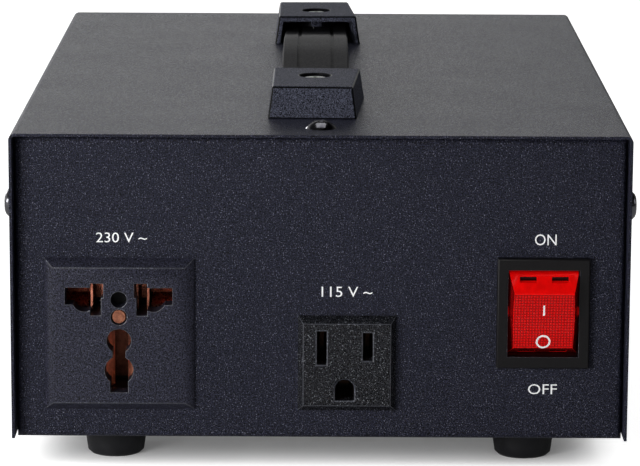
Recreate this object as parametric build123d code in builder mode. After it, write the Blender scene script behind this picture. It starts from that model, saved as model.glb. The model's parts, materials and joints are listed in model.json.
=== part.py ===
from build123d import *
import os
from math import atan, cos, degrees, radians, sin, tan

os.makedirs("parts", exist_ok=True)

# A step-up and step-down mains converter in a folded steel case. Sizes are in millimetres.
# X runs to the right as seen from the front, Y runs from the front to the rear, and Z is up from
# the surface that the feet stand on. The origin is under the middle of the whole object.

# Case
case_width = 170.0          # over the cover's sides
case_depth = 250.0          # the cover, front edge to rear edge
case_height = 86.2          # underside of the base to the top of the cover
cover_gauge = 0.8
cover_bend = 1.8            # outside radius of the cover's two bends
cover_lift = 0.8            # the cover's lower edges above the underside of the base
panel_recess = 4.5          # the end panels' faces inside the cover's edges
chassis_gauge = 1.2
chassis_bend = 2.2          # outside radius
case_gap = 0.3              # between the cover and the chassis
side_flange = 20.0          # the end panels' side flanges, from the panel's face
top_flange = 20.0
flange_relief = 3.0
cut_over = 1.0              # how far a cutting shape runs past a face
seat_gap = 0.2              # clearance of a body in its cut-out
shank_gap = 0.05            # clearance of a screw in its tapped hole

# Side and base vents
vent_width = 3.0
vent_length = 26.0
vent_pitch = 8.0
vent_count = 14
vent_height = 34.0          # middle of the side vents above the underside of the base
rear_vent_length = 14.0
rear_vent_count = 12
rear_vent_drop = 14.0       # middle of the rear vents below the cover's top
base_vent_length = 22.0
base_vent_count = 6

# Screws
screw_radius = 2.0
screw_head_radius = 4.4
screw_head_height = 2.3
screw_length = 8.0
cross_width = 1.0
cross_length = 4.6
cross_depth = 1.3
dome_angle = 15.0           # degrees, where the dome's arc is held
hole_gap = 0.3
cover_screw_inset = 12.2    # cover screws, from the cover's front and rear edges
side_screw_drop = 21.3      # side screws, below the cover's top
nut_sides = 6
nut_across = 7.0
nut_height = 3.2
washer_height = 0.8

# Feet
foot_height = 9.0
foot_top_radius = 9.2
foot_bottom_radius = 8.6
foot_edge = 0.8
foot_bore_radius = 4.9
foot_bore_depth = 5.0
foot_share = 0.3394         # feet from the middle, of the case's width
foot_inset = 25.0           # from the cover's front and rear edges

# Universal socket
universal_share = 0.3253    # left of the middle, of the case's width
universal_z = 29.75         # middle, above the underside of the base
universal_width = 41.4
universal_height = 42.6
universal_lip = 0.6
universal_raise = 3.4
universal_face_width = 36.4
universal_face_height = 38.2
universal_body_width = 37.6
universal_body_height = 38.4
universal_body_depth = 19.0
universal_wall = 2.6
universal_back = 3.0        # rear plate
pin_line = 11.1             # the live pins' line above the socket's middle
flat_slot_near = 7.8        # horizontal slot, from the socket's middle line
flat_slot_far = 14.75
flat_slot_half = 2.35
round_pin_x = 9.5
round_pin_radius = 3.3
round_pin_drop = 1.0
blade_slot_near = 4.25
blade_slot_waist = 4.9
blade_slot_top = 3.5
blade_slot_bottom = 5.4
blade_slot_step = 0.4
small_hole_radius = 2.2
upper_hole_drop = 0.95
lower_hole_drop = 5.9
earth_upper_drop = 12.6
earth_upper_radius = 3.35
earth_lower_drop = 20.9
earth_lower_radius = 3.95
earth_neck_half = 1.75
earth_slot_half = 2.45
earth_slot_drop = 27.1
chamber_near = 4.0
chamber_far = 16.2
chamber_top = 5.0
chamber_bottom = 6.4
earth_chamber_half = 5.4
earth_chamber_top = 8.8     # below the live pins' line
earth_chamber_bottom = 28.4
rivet_radius = 2.0
rivet_sink = 0.8
rivet_head = 1.0
rivet_shank_radius = 1.4
rivet_tail_radius = 2.4
rivet_tail = 0.8

# Spring contacts
contact_gauge = 0.6
contact_gap = 0.3
waist_share = 0.62          # where a jaw is narrowest, of its depth from the back
root_share = 0.2
flat_jaw_mouth = 4.2        # half width over a jaw's mouth
flat_jaw_waist = 1.9
flat_jaw_root = 3.2
flat_jaw_near = 8.7
flat_jaw_far = 15.6
blade_jaw_x = 6.3
blade_jaw_mouth = 1.8
blade_jaw_waist = 1.3
blade_jaw_root = 1.6
blade_jaw_width = 8.0
web_near = 4.7
earth_jaw_mouth = 4.6
earth_jaw_waist = 2.4
earth_jaw_root = 3.6
earth_jaw_top = 9.6         # below the live pins' line
earth_jaw_bottom = 27.6
tab_width = 6.3
tab_gauge = 0.8
tab_length = 8.0
tab_gap = 0.1

# American socket
us_share = 0.0441           # right of the middle, of the case's width
us_z = 21.7
us_width = 27.1
us_height = 26.8
us_lip = 0.5
us_raise = 3.0
us_face_width = 24.2
us_face_height = 23.2
us_body_width = 24.2
us_body_height = 24.0
us_body_depth = 18.0
us_wall = 2.2
us_back = 2.4
us_pin_shift = -0.6         # pins' middle from the socket's middle
us_pin_spacing = 12.7
us_pin_rise = 4.75
us_ground_drop = 11.9       # ground pin below the blades' line
us_slot_width = 2.7
us_neutral_length = 9.4
us_line_length = 7.8
us_line_rise = 0.35
us_ground_width = 5.3
us_ground_height = 5.9
us_slot_chamfer = 0.35
us_chamber_wide = 5.4
us_chamber_tall = 10.6
us_ground_chamber = 7.6
us_jaw_mouth = 2.2
us_jaw_waist = 1.2
us_jaw_root = 1.6
us_jaw_width = 8.0
us_ground_mouth = 3.3
us_ground_waist = 2.0
us_ground_root = 2.4
us_ground_jaw_width = 6.0

# Rocker switch
switch_share = 0.3618       # right of the middle, of the case's width
switch_z = 36.2
bezel_width = 25.6
bezel_height = 31.0
bezel_raise = 2.0
bezel_edge = 0.6
housing_width = 22.4
housing_height = 28.4
housing_back = 2.0
opening_width = 19.6
opening_height = 24.4
well_depth = 16.0           # bezel face to the floor of the switch
pivot_depth = 3.0           # pivot behind the bezel's face
rocker_gap = 0.3
rocker_throw = 11.0         # degrees each way
rocker_face = 8.2           # half length of the pressed face
rocker_rise = 5.6           # pressed face in front of the pivot
rocker_dip = 0.7            # hollow in the middle of the pressed face
rocker_end = 11.8           # half length at the bezel
rocker_end_rise = 1.0
rocker_skirt = 1.5          # how far the rocker runs behind the pivot
rocker_wall = 1.4
rocker_round = 0.5
rocker_window_width = 4.6
rocker_window_space = 8.8
rocker_window_height = 1.2
rocker_window_depth = 0.7
pivot_radius = 1.45
pivot_gap = 0.08
pivot_reach = 0.7
pole_spacing = 11.0
stem_radius = 2.0
stem_reach = 6.0
plunger_radius = 1.2
plunger_gap = 0.1
plunger_reach = 8.9
plunger_top = 1.0
lever_length = 16.0
lever_width = 4.0
lever_gauge = 0.8
lever_depth = 9.6           # middle of the lever behind the pivot
lever_tilt = 6.0            # degrees each way
fulcrum_gap = 0.1
terminal_row = 8.5
terminal_width = 4.8
terminal_gauge = 0.8
terminal_reach = 9.0
terminal_foot = 3.6
feed_spot = 6.8             # contact points, from the lever's fulcrum
contact_radius = 1.6
contact_height = 0.65
lamp_radius = 2.1
lamp_length = 9.0
clip_width = 8.0
clip_proud = 0.9
clip_length = 5.0

# Carrying handle
handle_x = -1.7
handle_share = 0.0204       # the handle's middle in front of the case's, of the case's depth
handle_span = 141.0         # between the caps' screws
cap_outer_reach = 22.2      # from the screw to the cap's outer end
cap_inner_reach = 15.5      # from the screw to the cap's open end
cap_inner_width = 27.4
cap_outer_width = 25.0
cap_height = 9.0
cap_draft = 8.0             # degrees
cap_wall = 1.7
cap_roof = 2.0
cap_round = 0.8
cap_yaw = 2.0               # degrees, how far each cap has turned on its screw
cap_boss_radius = 5.7
cap_boss_floor = 1.0
cap_bore_radius = 4.55
cap_bore_depth = 3.8
handle_head_radius = 3.8
handle_head_height = 2.6
bush_radius = 3.2
strap_width = 19.6
strap_thickness = 2.4
strap_lift = 2.7            # middle of the strap's ends above the cover
strap_ramp = 40.0           # sloping lengths of the strap
strap_slope = 6.5           # degrees, the strap's own arch at rest
strap_raise = 24.0          # degrees, how far the ramps rise when the strap is lifted
strap_exit = 3.0            # first bend beyond the cap's open end
strap_tail = 12.8           # strap's end beyond the screw
strap_corner = 2.0
strap_slot_gap = 0.4
strap_hinge_gap = 0.45      # from each bend to the pieces beside it
strap_groove_spacing = 10.0
strap_groove_width = 1.0
strap_groove_depth = 0.4
strap_spare = 0.8           # slot clearance beyond the travel

# Toroidal transformer
core_inner_radius = 25.0
core_height = 44.0
winding_depth = 5.6
winding_round = 6.0
winding_side_gap = 12.4     # from the wound core to the wires beside it
winding_end_gap = 2.0       # at least, from the wound core to the wires before and behind it
wrap_gap = 0.2
wrap_depth = 1.0
toroid_shift = 2.0          # toroid's middle behind the case's middle
pad_margin = 1.0            # the pads' edge inside the core's
pad_bore = 23.0
pad_height = 2.5
dish_margin = 9.0           # the dished washer's edge inside the core's
dish_gauge = 1.5
dish_drop = 4.0
dish_flat = 13.0
dish_shoulder = 19.0
bolt_radius = 4.0
bolt_head_across = 13.0
bolt_head_height = 5.3
bolt_nut_height = 6.5
bolt_end = 6.0
bolt_gap = 0.25

# Mains inlet
inlet_share = 0.2824        # right of the middle, of the case's width
inlet_z = 36.0
inlet_flange_width = 50.0
inlet_flange_height = 23.0
inlet_flange = 2.6
inlet_corner = 4.0
inlet_screw_spacing = 40.0
inlet_body_width = 28.0
inlet_body_height = 20.0
inlet_body_depth = 22.0
inlet_mouth_width = 24.2
inlet_mouth_height = 16.6
inlet_mouth_depth = 17.5
inlet_mouth_cut = 4.2
inlet_pin_spacing = 14.0
inlet_earth_rise = 4.0
inlet_pin_width = 2.0
inlet_pin_height = 4.0
inlet_pin_sink = 5.0
inlet_pin_drop = 2.0
small_screw_radius = 1.5
small_head_radius = 2.9
small_head_height = 1.6
small_nut_across = 5.5
small_nut_height = 2.2
small_screw_length = 9.0

# Circuit breaker
breaker_share = 0.0235      # right of the middle, of the case's width
breaker_z = 38.0
breaker_body_width = 15.0
breaker_body_height = 30.0
breaker_body_depth = 24.0
breaker_bush_radius = 5.5
breaker_bush_length = 8.0
breaker_ring_across = 14.0
breaker_ring_height = 2.4
breaker_button_radius = 3.4
breaker_button_gap = 0.08
breaker_button_proud = 4.0
breaker_button_seat = 8.0
breaker_button_spare = 1.0  # behind the pressed button
breaker_travel = 3.0
breaker_tab_spacing = 13.0

# Voltage selector
selector_share = 0.2588     # left of the middle, of the case's width
selector_z = 38.0
selector_flange_width = 38.0
selector_flange_height = 16.0
selector_flange = 1.0
selector_screw_spacing = 31.0
selector_body_width = 22.0
selector_body_height = 12.0
selector_body_depth = 12.0
selector_window_width = 13.0
selector_window_height = 6.4
selector_window_depth = 4.0
selector_knob_width = 8.0
selector_knob_proud = 0.4
selector_travel = 4.5
selector_gap = 0.2
selector_notch_width = 1.4
selector_notch_depth = 1.0
selector_slab_depth = 2.0
selector_slab_margin = 1.5
selector_tab_pitch = 7.0
selector_tab_width = 3.0
selector_tab_length = 5.0
selector_tab_count = 3

# Earth stud
stud_share = 0.1941         # right of the middle, of the case's width
stud_inset = 30.0           # from the front panel's face
stud_length = 13.0
lug_radius = 4.6
lug_gauge = 0.8
lug_tail_width = 4.0
lug_tail_length = 10.0
lug_gap = 0.05

# Wires
wire_radius = 1.5
lane_inset = 9.4            # the wires' lanes beside the transformer, from the chassis's side
lane_low = 16.0             # heights of the lanes above the base's underside
lane_mid = 34.0
lane_high = 52.0
lane_front = 63.5           # the lanes' ends, from the front and rear panels
lane_rear = 62.5
lane_shift = 8.0
tab_approach = 14.0         # straight run of a wire before its tab
wire_bend = 12.0
wire_stand = 0.06           # from the winding's wrap
sleeve_wall = 0.9
sleeve_end = 1.5
sleeve_share = 0.9          # of the tab's length
bend_share = 0.45           # of the shorter run beside a bend

# Places that follow from the sizes
throw = radians(rocker_throw)
nose_reach = rocker_face * sin(throw) + rocker_rise * cos(throw)
front_reach = nose_reach - pivot_depth + bezel_raise - panel_recess
rear_reach = breaker_bush_length + breaker_button_proud - panel_recess
cover_front = front_reach - (case_depth + front_reach + rear_reach) / 2
cover_rear = cover_front + case_depth
case_middle = (cover_front + cover_rear) / 2
panel_front = cover_front + panel_recess
panel_rear = cover_rear - panel_recess
base_z = foot_height
base_top = base_z + chassis_gauge
cover_top = base_z + case_height
cover_under = cover_top - cover_gauge
cover_bottom = base_z + cover_lift
chassis_width = case_width - 2 * (cover_gauge + case_gap)
chassis_depth = panel_rear - panel_front
chassis_height = case_height - cover_gauge - case_gap
chassis_top = base_z + chassis_height
universal_x = -case_width * universal_share
us_x = case_width * us_share
switch_x = case_width * switch_share
inlet_x = case_width * inlet_share
breaker_x = case_width * breaker_share
selector_x = -case_width * selector_share
stud_x = case_width * stud_share
foot_x = case_width * foot_share
lane_x = chassis_width / 2 - lane_inset

# The transformer's core fills the room that the fittings and their wires leave it.
front_fitting = universal_body_depth + universal_back
rear_fitting = max(inlet_body_depth, chassis_gauge + breaker_body_depth)
end_fitting = max(front_fitting, rear_fitting) + tab_length + sleeve_end + tab_approach
side_room = lane_x - wire_radius - winding_side_gap - winding_depth
end_room = chassis_depth / 2 - end_fitting - toroid_shift - wire_radius - winding_end_gap - winding_depth
core_outer_radius = min(side_room, end_room)
pad_radius = core_outer_radius - pad_margin
dish_radius = core_outer_radius - dish_margin


def facing(y):
    """A plane that faces the front at depth y."""
    return Plane.XZ.offset(-y)


def save(built, name):
    """Labels a finished piece and writes it to its own file."""
    built.part.label = name
    export_step(built.part, f"parts/{name}.step")


# The chassis is one folded sheet: the base, both end panels and their flanges.
with BuildPart() as chassis_core:
    with Locations((0, case_middle, base_top)):
        Box(
            chassis_width - 2 * chassis_gauge,
            chassis_depth - 2 * chassis_gauge,
            chassis_height - 2 * chassis_gauge,
            align=(Align.CENTER, Align.CENTER, Align.MIN),
        )
    core_bends = chassis_core.edges().filter_by(Axis.X) + chassis_core.edges().filter_by(Axis.Z)
    fillet(core_bends, radius=chassis_bend - chassis_gauge)

side_screw_z = cover_top - side_screw_drop
screw_rows = [cover_front + cover_screw_inset, cover_rear - cover_screw_inset]
foot_rows = [cover_front + foot_inset, cover_rear - foot_inset]
foot_spots = [(x, y) for x in (-foot_x, foot_x) for y in foot_rows]
toroid_y = case_middle + toroid_shift
stud_y = panel_front + stud_inset
universal_middle = base_z + universal_z
us_middle = base_z + us_z
switch_middle = base_z + switch_z
inlet_middle = base_z + inlet_z
breaker_middle = base_z + breaker_z
selector_middle = base_z + selector_z
window_depth = chassis_depth - 2 * side_flange
lid_window = chassis_depth - 2 * top_flange
relief_depth = side_flange - chassis_bend

with BuildPart() as chassis:
    with Locations((0, case_middle, base_z)):
        Box(chassis_width, chassis_depth, chassis_height, align=(Align.CENTER, Align.CENTER, Align.MIN))
    outer_bends = chassis.edges().filter_by(Axis.X) + chassis.edges().filter_by(Axis.Z)
    fillet(outer_bends, radius=chassis_bend)
    add(chassis_core.part, mode=Mode.SUBTRACT)
    # Open sides and top, between the flanges.
    with Locations((0, case_middle, base_top)):
        Box(
            chassis_width + 2 * cut_over,
            window_depth,
            chassis_height,
            align=(Align.CENTER, Align.CENTER, Align.MIN),
            mode=Mode.SUBTRACT,
        )
    with Locations((0, case_middle, chassis_top - chassis_bend)):
        Box(
            chassis_width - 2 * (chassis_bend + flange_relief),
            lid_window,
            chassis_bend + cut_over,
            align=(Align.CENTER, Align.CENTER, Align.MIN),
            mode=Mode.SUBTRACT,
        )
    # Relief notches free each side flange from the base and from the top flange.
    for end, y in ((Align.MIN, panel_front + chassis_bend), (Align.MAX, panel_rear - chassis_bend)):
        for side in (-1, 1):
            edge = Align.MAX if side > 0 else Align.MIN
            with Locations((side * (chassis_width / 2 + cut_over), y, base_top)):
                Box(
                    chassis_bend + cut_over,
                    relief_depth + cut_over,
                    flange_relief,
                    align=(edge, end, Align.MIN),
                    mode=Mode.SUBTRACT,
                )
            with Locations((side * (chassis_width / 2 + cut_over), y, chassis_top - chassis_bend)):
                Box(
                    chassis_bend + flange_relief + cut_over,
                    relief_depth + cut_over,
                    chassis_bend + cut_over,
                    align=(edge, end, Align.MIN),
                    mode=Mode.SUBTRACT,
                )
    # Cut-outs in the front panel.
    with BuildSketch(facing(panel_front)):
        with Locations((universal_x, universal_middle)):
            Rectangle(universal_body_width + 2 * seat_gap, universal_body_height + 2 * seat_gap)
        with Locations((us_x, us_middle)):
            Rectangle(us_body_width + 2 * seat_gap, us_body_height + 2 * seat_gap)
        with Locations((switch_x, switch_middle)):
            Rectangle(housing_width + 2 * seat_gap, housing_height + 2 * seat_gap)
    extrude(amount=-chassis_gauge, mode=Mode.SUBTRACT)
    # Cut-outs and vents in the rear panel.
    with BuildSketch(facing(panel_rear)):
        with Locations((inlet_x, inlet_middle)):
            Rectangle(inlet_body_width + 2 * seat_gap, inlet_body_height + 2 * seat_gap)
            with GridLocations(inlet_screw_spacing, 0, 2, 1):
                Circle(small_screw_radius + seat_gap)
        with Locations((breaker_x, breaker_middle)):
            Circle(breaker_bush_radius + seat_gap)
        with Locations((selector_x, selector_middle)):
            Rectangle(selector_body_width + 2 * seat_gap, selector_body_height + 2 * seat_gap)
            with GridLocations(selector_screw_spacing, 0, 2, 1):
                Circle(small_screw_radius + seat_gap)
        with Locations((0, cover_top - rear_vent_drop)):
            with GridLocations(vent_pitch, 0, rear_vent_count, 1):
                SlotOverall(rear_vent_length, vent_width, rotation=90)
    extrude(amount=chassis_gauge, mode=Mode.SUBTRACT)
    # Tapped holes for the cover's screws.
    with BuildSketch(Plane.YZ.offset(-chassis_width / 2)):
        with Locations(*[(y, side_screw_z) for y in screw_rows]):
            Circle(screw_radius + shank_gap)
    extrude(amount=chassis_width, mode=Mode.SUBTRACT)
    with BuildSketch(Plane.XY.offset(chassis_top - chassis_gauge)):
        with Locations(*[(0, y) for y in screw_rows]):
            Circle(screw_radius + shank_gap)
    extrude(amount=chassis_gauge, mode=Mode.SUBTRACT)
    # Holes in the base for the feet, the transformer's bolt and the earth stud, and two rows of vents.
    with BuildSketch(Plane.XY.offset(base_z)):
        with Locations(*foot_spots):
            Circle(screw_radius + hole_gap)
        with Locations((0, toroid_y)):
            Circle(bolt_radius + bolt_gap)
        with Locations((stud_x, stud_y)):
            Circle(screw_radius + hole_gap)
        for x in (-foot_x, foot_x):
            with Locations((x, case_middle)):
                with GridLocations(0, vent_pitch, 1, base_vent_count):
                    SlotOverall(base_vent_length, vent_width)
    extrude(amount=chassis_gauge, mode=Mode.SUBTRACT)
save(chassis, "chassis")

# The cover is a second folded sheet: the top and both sides.
cover_height = cover_top - cover_bottom
handle_middle = case_middle - case_depth * handle_share
handle_rows = [handle_middle - handle_span / 2, handle_middle + handle_span / 2]
with BuildPart() as cover:
    with BuildSketch(facing(cover_rear)) as cover_section:
        with Locations((0, cover_bottom)):
            Rectangle(case_width, cover_height, align=(Align.CENTER, Align.MIN))
        fillet(cover_section.vertices().group_by(Axis.Y)[-1], radius=cover_bend)
    extrude(amount=case_depth)
    with BuildSketch(facing(cover_rear)) as cover_hollow:
        with Locations((0, cover_bottom)):
            Rectangle(
                case_width - 2 * cover_gauge,
                cover_height - cover_gauge,
                align=(Align.CENTER, Align.MIN),
            )
        fillet(cover_hollow.vertices().group_by(Axis.Y)[-1], radius=cover_bend - cover_gauge)
    extrude(amount=case_depth, mode=Mode.SUBTRACT)
    with BuildSketch(Plane.YZ.offset(-case_width / 2)):
        with Locations(*[(y, side_screw_z) for y in screw_rows]):
            Circle(screw_radius + hole_gap)
        with Locations((case_middle, base_z + vent_height)):
            with GridLocations(vent_pitch, 0, vent_count, 1):
                SlotOverall(vent_length, vent_width, rotation=90)
    extrude(amount=case_width, mode=Mode.SUBTRACT)
    with BuildSketch(Plane.XY.offset(cover_under)):
        with Locations(*[(0, y) for y in screw_rows]):
            Circle(screw_radius + hole_gap)
        with Locations(*[(handle_x, y) for y in handle_rows]):
            Circle(screw_radius + hole_gap)
    extrude(amount=cover_gauge, mode=Mode.SUBTRACT)
save(cover, "cover")


def domed_screw(length):
    """A screw with a domed, cross-slotted head, standing on Z = 0 with its shank below."""
    dome_radius = (screw_head_radius**2 + screw_head_height**2) / (2 * screw_head_height)
    with BuildPart() as screw:
        with BuildSketch(Plane.XZ):
            with BuildLine():
                rim = Line((0, 0), (screw_head_radius, 0))
                ThreePointArc(
                    rim @ 1,
                    (
                        dome_radius * sin(radians(dome_angle)),
                        screw_head_height - dome_radius * (1 - cos(radians(dome_angle))),
                    ),
                    (0, screw_head_height),
                )
                Line((0, screw_head_height), (0, 0))
            make_face()
        revolve(axis=Axis.Z)
        with BuildSketch(Plane.XY.offset(screw_head_height)):
            Rectangle(cross_length, cross_width)
            Rectangle(cross_width, cross_length)
        extrude(amount=-cross_depth, mode=Mode.SUBTRACT)
        with BuildSketch(Plane.XY):
            Circle(screw_radius)
        extrude(amount=-length)
    return screw.part


cover_screw = domed_screw(screw_length)

with BuildPart() as cover_side_screws:
    for y in screw_rows:
        for side in (-1, 1):
            with Locations(Location((side * case_width / 2, y, side_screw_z), (0, side * 90, 0))):
                add(cover_screw)
save(cover_side_screws, "cover_side_screws")

with BuildPart() as cover_top_screws:
    for y in screw_rows:
        with Locations((0, y, cover_top)):
            add(cover_screw)
save(cover_top_screws, "cover_top_screws")


def hex_nut(across, height, bore):
    """A hexagon nut that stands on Z = 0."""
    with BuildPart() as nut:
        with BuildSketch():
            RegularPolygon(radius=across / 2, side_count=nut_sides, major_radius=False)
            Circle(bore, mode=Mode.SUBTRACT)
        extrude(amount=height)
    return nut.part


# Feet, each with its screw and nut
with BuildPart() as feet:
    with BuildSketch(Plane.XY):
        with Locations(*foot_spots):
            Circle(foot_bottom_radius)
    extrude(amount=foot_height, taper=-degrees(atan((foot_top_radius - foot_bottom_radius) / foot_height)))
    chamfer(feet.edges().group_by(Axis.Z)[0], length=foot_edge)
    with BuildSketch(Plane.XY):
        with Locations(*foot_spots):
            Circle(foot_bore_radius)
    extrude(amount=foot_bore_depth, mode=Mode.SUBTRACT)
    with BuildSketch(Plane.XY):
        with Locations(*foot_spots):
            Circle(screw_radius + hole_gap)
    extrude(amount=foot_height, mode=Mode.SUBTRACT)
save(feet, "feet")

foot_screw = domed_screw(foot_height - foot_bore_depth + chassis_gauge + nut_height + washer_height)
with BuildPart() as foot_screws:
    for x, y in foot_spots:
        with Locations(Location((x, y, foot_bore_depth), (180, 0, 0))):
            add(foot_screw)
save(foot_screws, "foot_screws")

plain_nut = hex_nut(nut_across, nut_height, screw_radius + shank_gap)
with BuildPart() as foot_nuts:
    for x, y in foot_spots:
        with Locations((x, y, base_top)):
            add(plain_nut)
save(foot_nuts, "foot_nuts")


def snap_lugs(half_height):
    """Two lugs, above and below a body, that hold it behind the front panel."""
    catch = panel_front + chassis_gauge
    with BuildPart() as lugs:
        with BuildSketch(Plane.YZ):
            with BuildLine():
                Polyline(
                    (catch, half_height),
                    (catch, half_height + clip_proud),
                    (catch + clip_length, half_height),
                    close=True,
                )
            make_face()
        extrude(amount=clip_width / 2, both=True)
        mirror(about=Plane.XY)
    return lugs.part


def raised_face(width, height, lip, rise, face_width, face_height):
    """A socket's bevelled front, on the panel, centred on X = 0 and Z = 0."""
    with BuildPart() as front:
        with BuildSketch(facing(panel_front)):
            Rectangle(width, height)
        extrude(amount=lip)
        with BuildSketch(facing(panel_front - lip)):
            Rectangle(width, height)
        with BuildSketch(facing(panel_front - rise)):
            Rectangle(face_width, face_height)
        loft()
    return front.part


def spring_jaw(mouth, waist, root, depth, width):
    """A bent strip that opens towards the front, with its back on Y = 0."""
    with BuildPart() as jaw:
        with BuildSketch(Plane.XY.offset(-width / 2)):
            with BuildLine():
                Polyline(
                    (-mouth, -depth),
                    (-waist, -depth * waist_share),
                    (-root, -depth * root_share),
                    (-root, 0),
                    (root, 0),
                    (root, -depth * root_share),
                    (waist, -depth * waist_share),
                    (mouth, -depth),
                )
                offset(amount=contact_gauge, side=Side.RIGHT)
            make_face()
        extrude(amount=width)
    return jaw.part


# Universal socket
universal_lugs = snap_lugs(universal_body_height / 2)
universal_front = raised_face(
    universal_width,
    universal_height,
    universal_lip,
    universal_raise,
    universal_face_width,
    universal_face_height,
)
universal_rear = panel_front + universal_body_depth
universal_chamber = panel_front + universal_wall
face_depth = universal_raise + universal_wall
with BuildPart() as universal_plate:
    add(universal_front)
    with BuildSketch(facing(panel_front)):
        Rectangle(universal_body_width, universal_body_height)
    extrude(amount=-universal_wall)
    # Openings for flat, round and blade pins on both sides, and the keyhole for earth pins.
    with BuildSketch(facing(universal_chamber)):
        for side in (-1, 1):
            with Locations((side * (flat_slot_near + flat_slot_far) / 2, pin_line)):
                Rectangle(flat_slot_far - flat_slot_near, 2 * flat_slot_half)
            with Locations((side * round_pin_x, pin_line - round_pin_drop)):
                Circle(round_pin_radius)
            with Locations((side * (blade_slot_near + flat_slot_near) / 2, pin_line + (blade_slot_top - blade_slot_step) / 2)):
                Rectangle(flat_slot_near - blade_slot_near, blade_slot_top + blade_slot_step)
            with Locations((side * (blade_slot_waist + flat_slot_near) / 2, pin_line - (blade_slot_bottom + blade_slot_step) / 2)):
                Rectangle(flat_slot_near - blade_slot_waist, blade_slot_bottom - blade_slot_step)
        with Locations((0, pin_line - earth_upper_drop)):
            Circle(earth_upper_radius)
        with Locations((0, pin_line - earth_lower_drop)):
            Circle(earth_lower_radius)
        with Locations((0, pin_line - (earth_upper_drop + earth_lower_drop) / 2)):
            Rectangle(2 * earth_neck_half, earth_lower_drop - earth_upper_drop)
        with Locations((0, pin_line - (earth_lower_drop + earth_slot_drop) / 2)):
            Rectangle(2 * earth_slot_half, earth_slot_drop - earth_lower_drop)
    extrude(amount=face_depth, mode=Mode.SUBTRACT)
    with BuildSketch(facing(panel_front - universal_raise)):
        with Locations((0, pin_line - upper_hole_drop)):
            Circle(small_hole_radius)
    extrude(amount=-face_depth, mode=Mode.SUBTRACT)
    with BuildSketch(facing(panel_front - universal_raise)):
        with Locations((0, pin_line - lower_hole_drop)):
            Circle(small_hole_radius)
    extrude(amount=-(rivet_sink + rivet_head), mode=Mode.SUBTRACT)
    with BuildSketch(facing(panel_front - universal_raise)):
        with Locations((0, pin_line - lower_hole_drop)):
            Circle(rivet_shank_radius + shank_gap)
    extrude(amount=-face_depth, mode=Mode.SUBTRACT)
with BuildPart() as universal_socket_face:
    with Locations((universal_x, 0, universal_middle)):
        add(universal_plate.part)
save(universal_socket_face, "universal_socket_face")

# The body behind the face, with its chambers for the contacts and the lugs that hold both
with BuildPart() as universal_box:
    with BuildSketch(facing(universal_rear)):
        Rectangle(universal_body_width, universal_body_height)
        for side in (-1, 1):
            with Locations((side * (chamber_near + chamber_far) / 2, pin_line + (chamber_top - chamber_bottom) / 2)):
                Rectangle(chamber_far - chamber_near, chamber_top + chamber_bottom, mode=Mode.SUBTRACT)
        with Locations((0, pin_line - (earth_chamber_top + earth_chamber_bottom) / 2)):
            Rectangle(2 * earth_chamber_half, earth_chamber_bottom - earth_chamber_top, mode=Mode.SUBTRACT)
        with Locations((0, pin_line - lower_hole_drop)):
            Circle(rivet_shank_radius + shank_gap, mode=Mode.SUBTRACT)
    extrude(amount=universal_body_depth - universal_wall)
    add(universal_lugs)
with BuildPart() as universal_socket_body:
    with Locations((universal_x, 0, universal_middle)):
        add(universal_box.part)
save(universal_socket_body, "universal_socket_body")

universal_tab_x = (web_near + flat_jaw_far) / 2
earth_tab_drop = (earth_jaw_top + earth_jaw_bottom) / 2
with BuildPart() as universal_socket_back:
    with BuildSketch(facing(universal_rear)):
        with Locations((universal_x, universal_middle)):
            Rectangle(universal_body_width, universal_body_height)
            with Locations((0, pin_line - lower_hole_drop)):
                Circle(rivet_shank_radius + shank_gap, mode=Mode.SUBTRACT)
            with Locations((-universal_tab_x, pin_line), (universal_tab_x, pin_line), (0, pin_line - earth_tab_drop)):
                Rectangle(tab_width + 2 * tab_gap, tab_gauge + 2 * tab_gap, mode=Mode.SUBTRACT)
    extrude(amount=-universal_back)
save(universal_socket_back, "universal_socket_back")

jaw_depth = universal_body_depth - universal_wall - contact_gap
flat_jaw = spring_jaw(flat_jaw_mouth, flat_jaw_waist, flat_jaw_root, jaw_depth, flat_jaw_far - flat_jaw_near)
blade_jaw = spring_jaw(blade_jaw_mouth, blade_jaw_waist, blade_jaw_root, jaw_depth, blade_jaw_width)
earth_jaw = spring_jaw(
    earth_jaw_mouth,
    earth_jaw_waist,
    earth_jaw_root,
    jaw_depth,
    earth_jaw_bottom - earth_jaw_top,
)
with BuildPart() as live_shape:
    with Locations(Location((-(flat_jaw_near + flat_jaw_far) / 2, universal_rear, pin_line), (0, 90, 0))):
        add(flat_jaw)
    with Locations((-blade_jaw_x, universal_rear, pin_line - round_pin_drop)):
        add(blade_jaw)
    with Locations((-(web_near + flat_jaw_far) / 2, universal_rear, pin_line)):
        Box(
            flat_jaw_far - web_near,
            contact_gauge,
            2 * flat_jaw_root,
            align=(Align.CENTER, Align.MAX, Align.CENTER),
        )
    with Locations((-universal_tab_x, universal_rear, pin_line)):
        Box(
            tab_width,
            universal_back + tab_length,
            tab_gauge,
            align=(Align.CENTER, Align.MIN, Align.CENTER),
        )
    mirror(about=Plane.YZ)
with BuildPart() as universal_live_contacts:
    with Locations((universal_x, 0, universal_middle)):
        add(live_shape.part)
save(universal_live_contacts, "universal_live_contacts")

with BuildPart() as universal_earth_contact:
    with Locations((universal_x, universal_rear, universal_middle + pin_line - earth_tab_drop)):
        add(earth_jaw)
        Box(
            tab_width,
            universal_back + tab_length,
            tab_gauge,
            align=(Align.CENTER, Align.MIN, Align.CENTER),
        )
save(universal_earth_contact, "universal_earth_contact")

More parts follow.
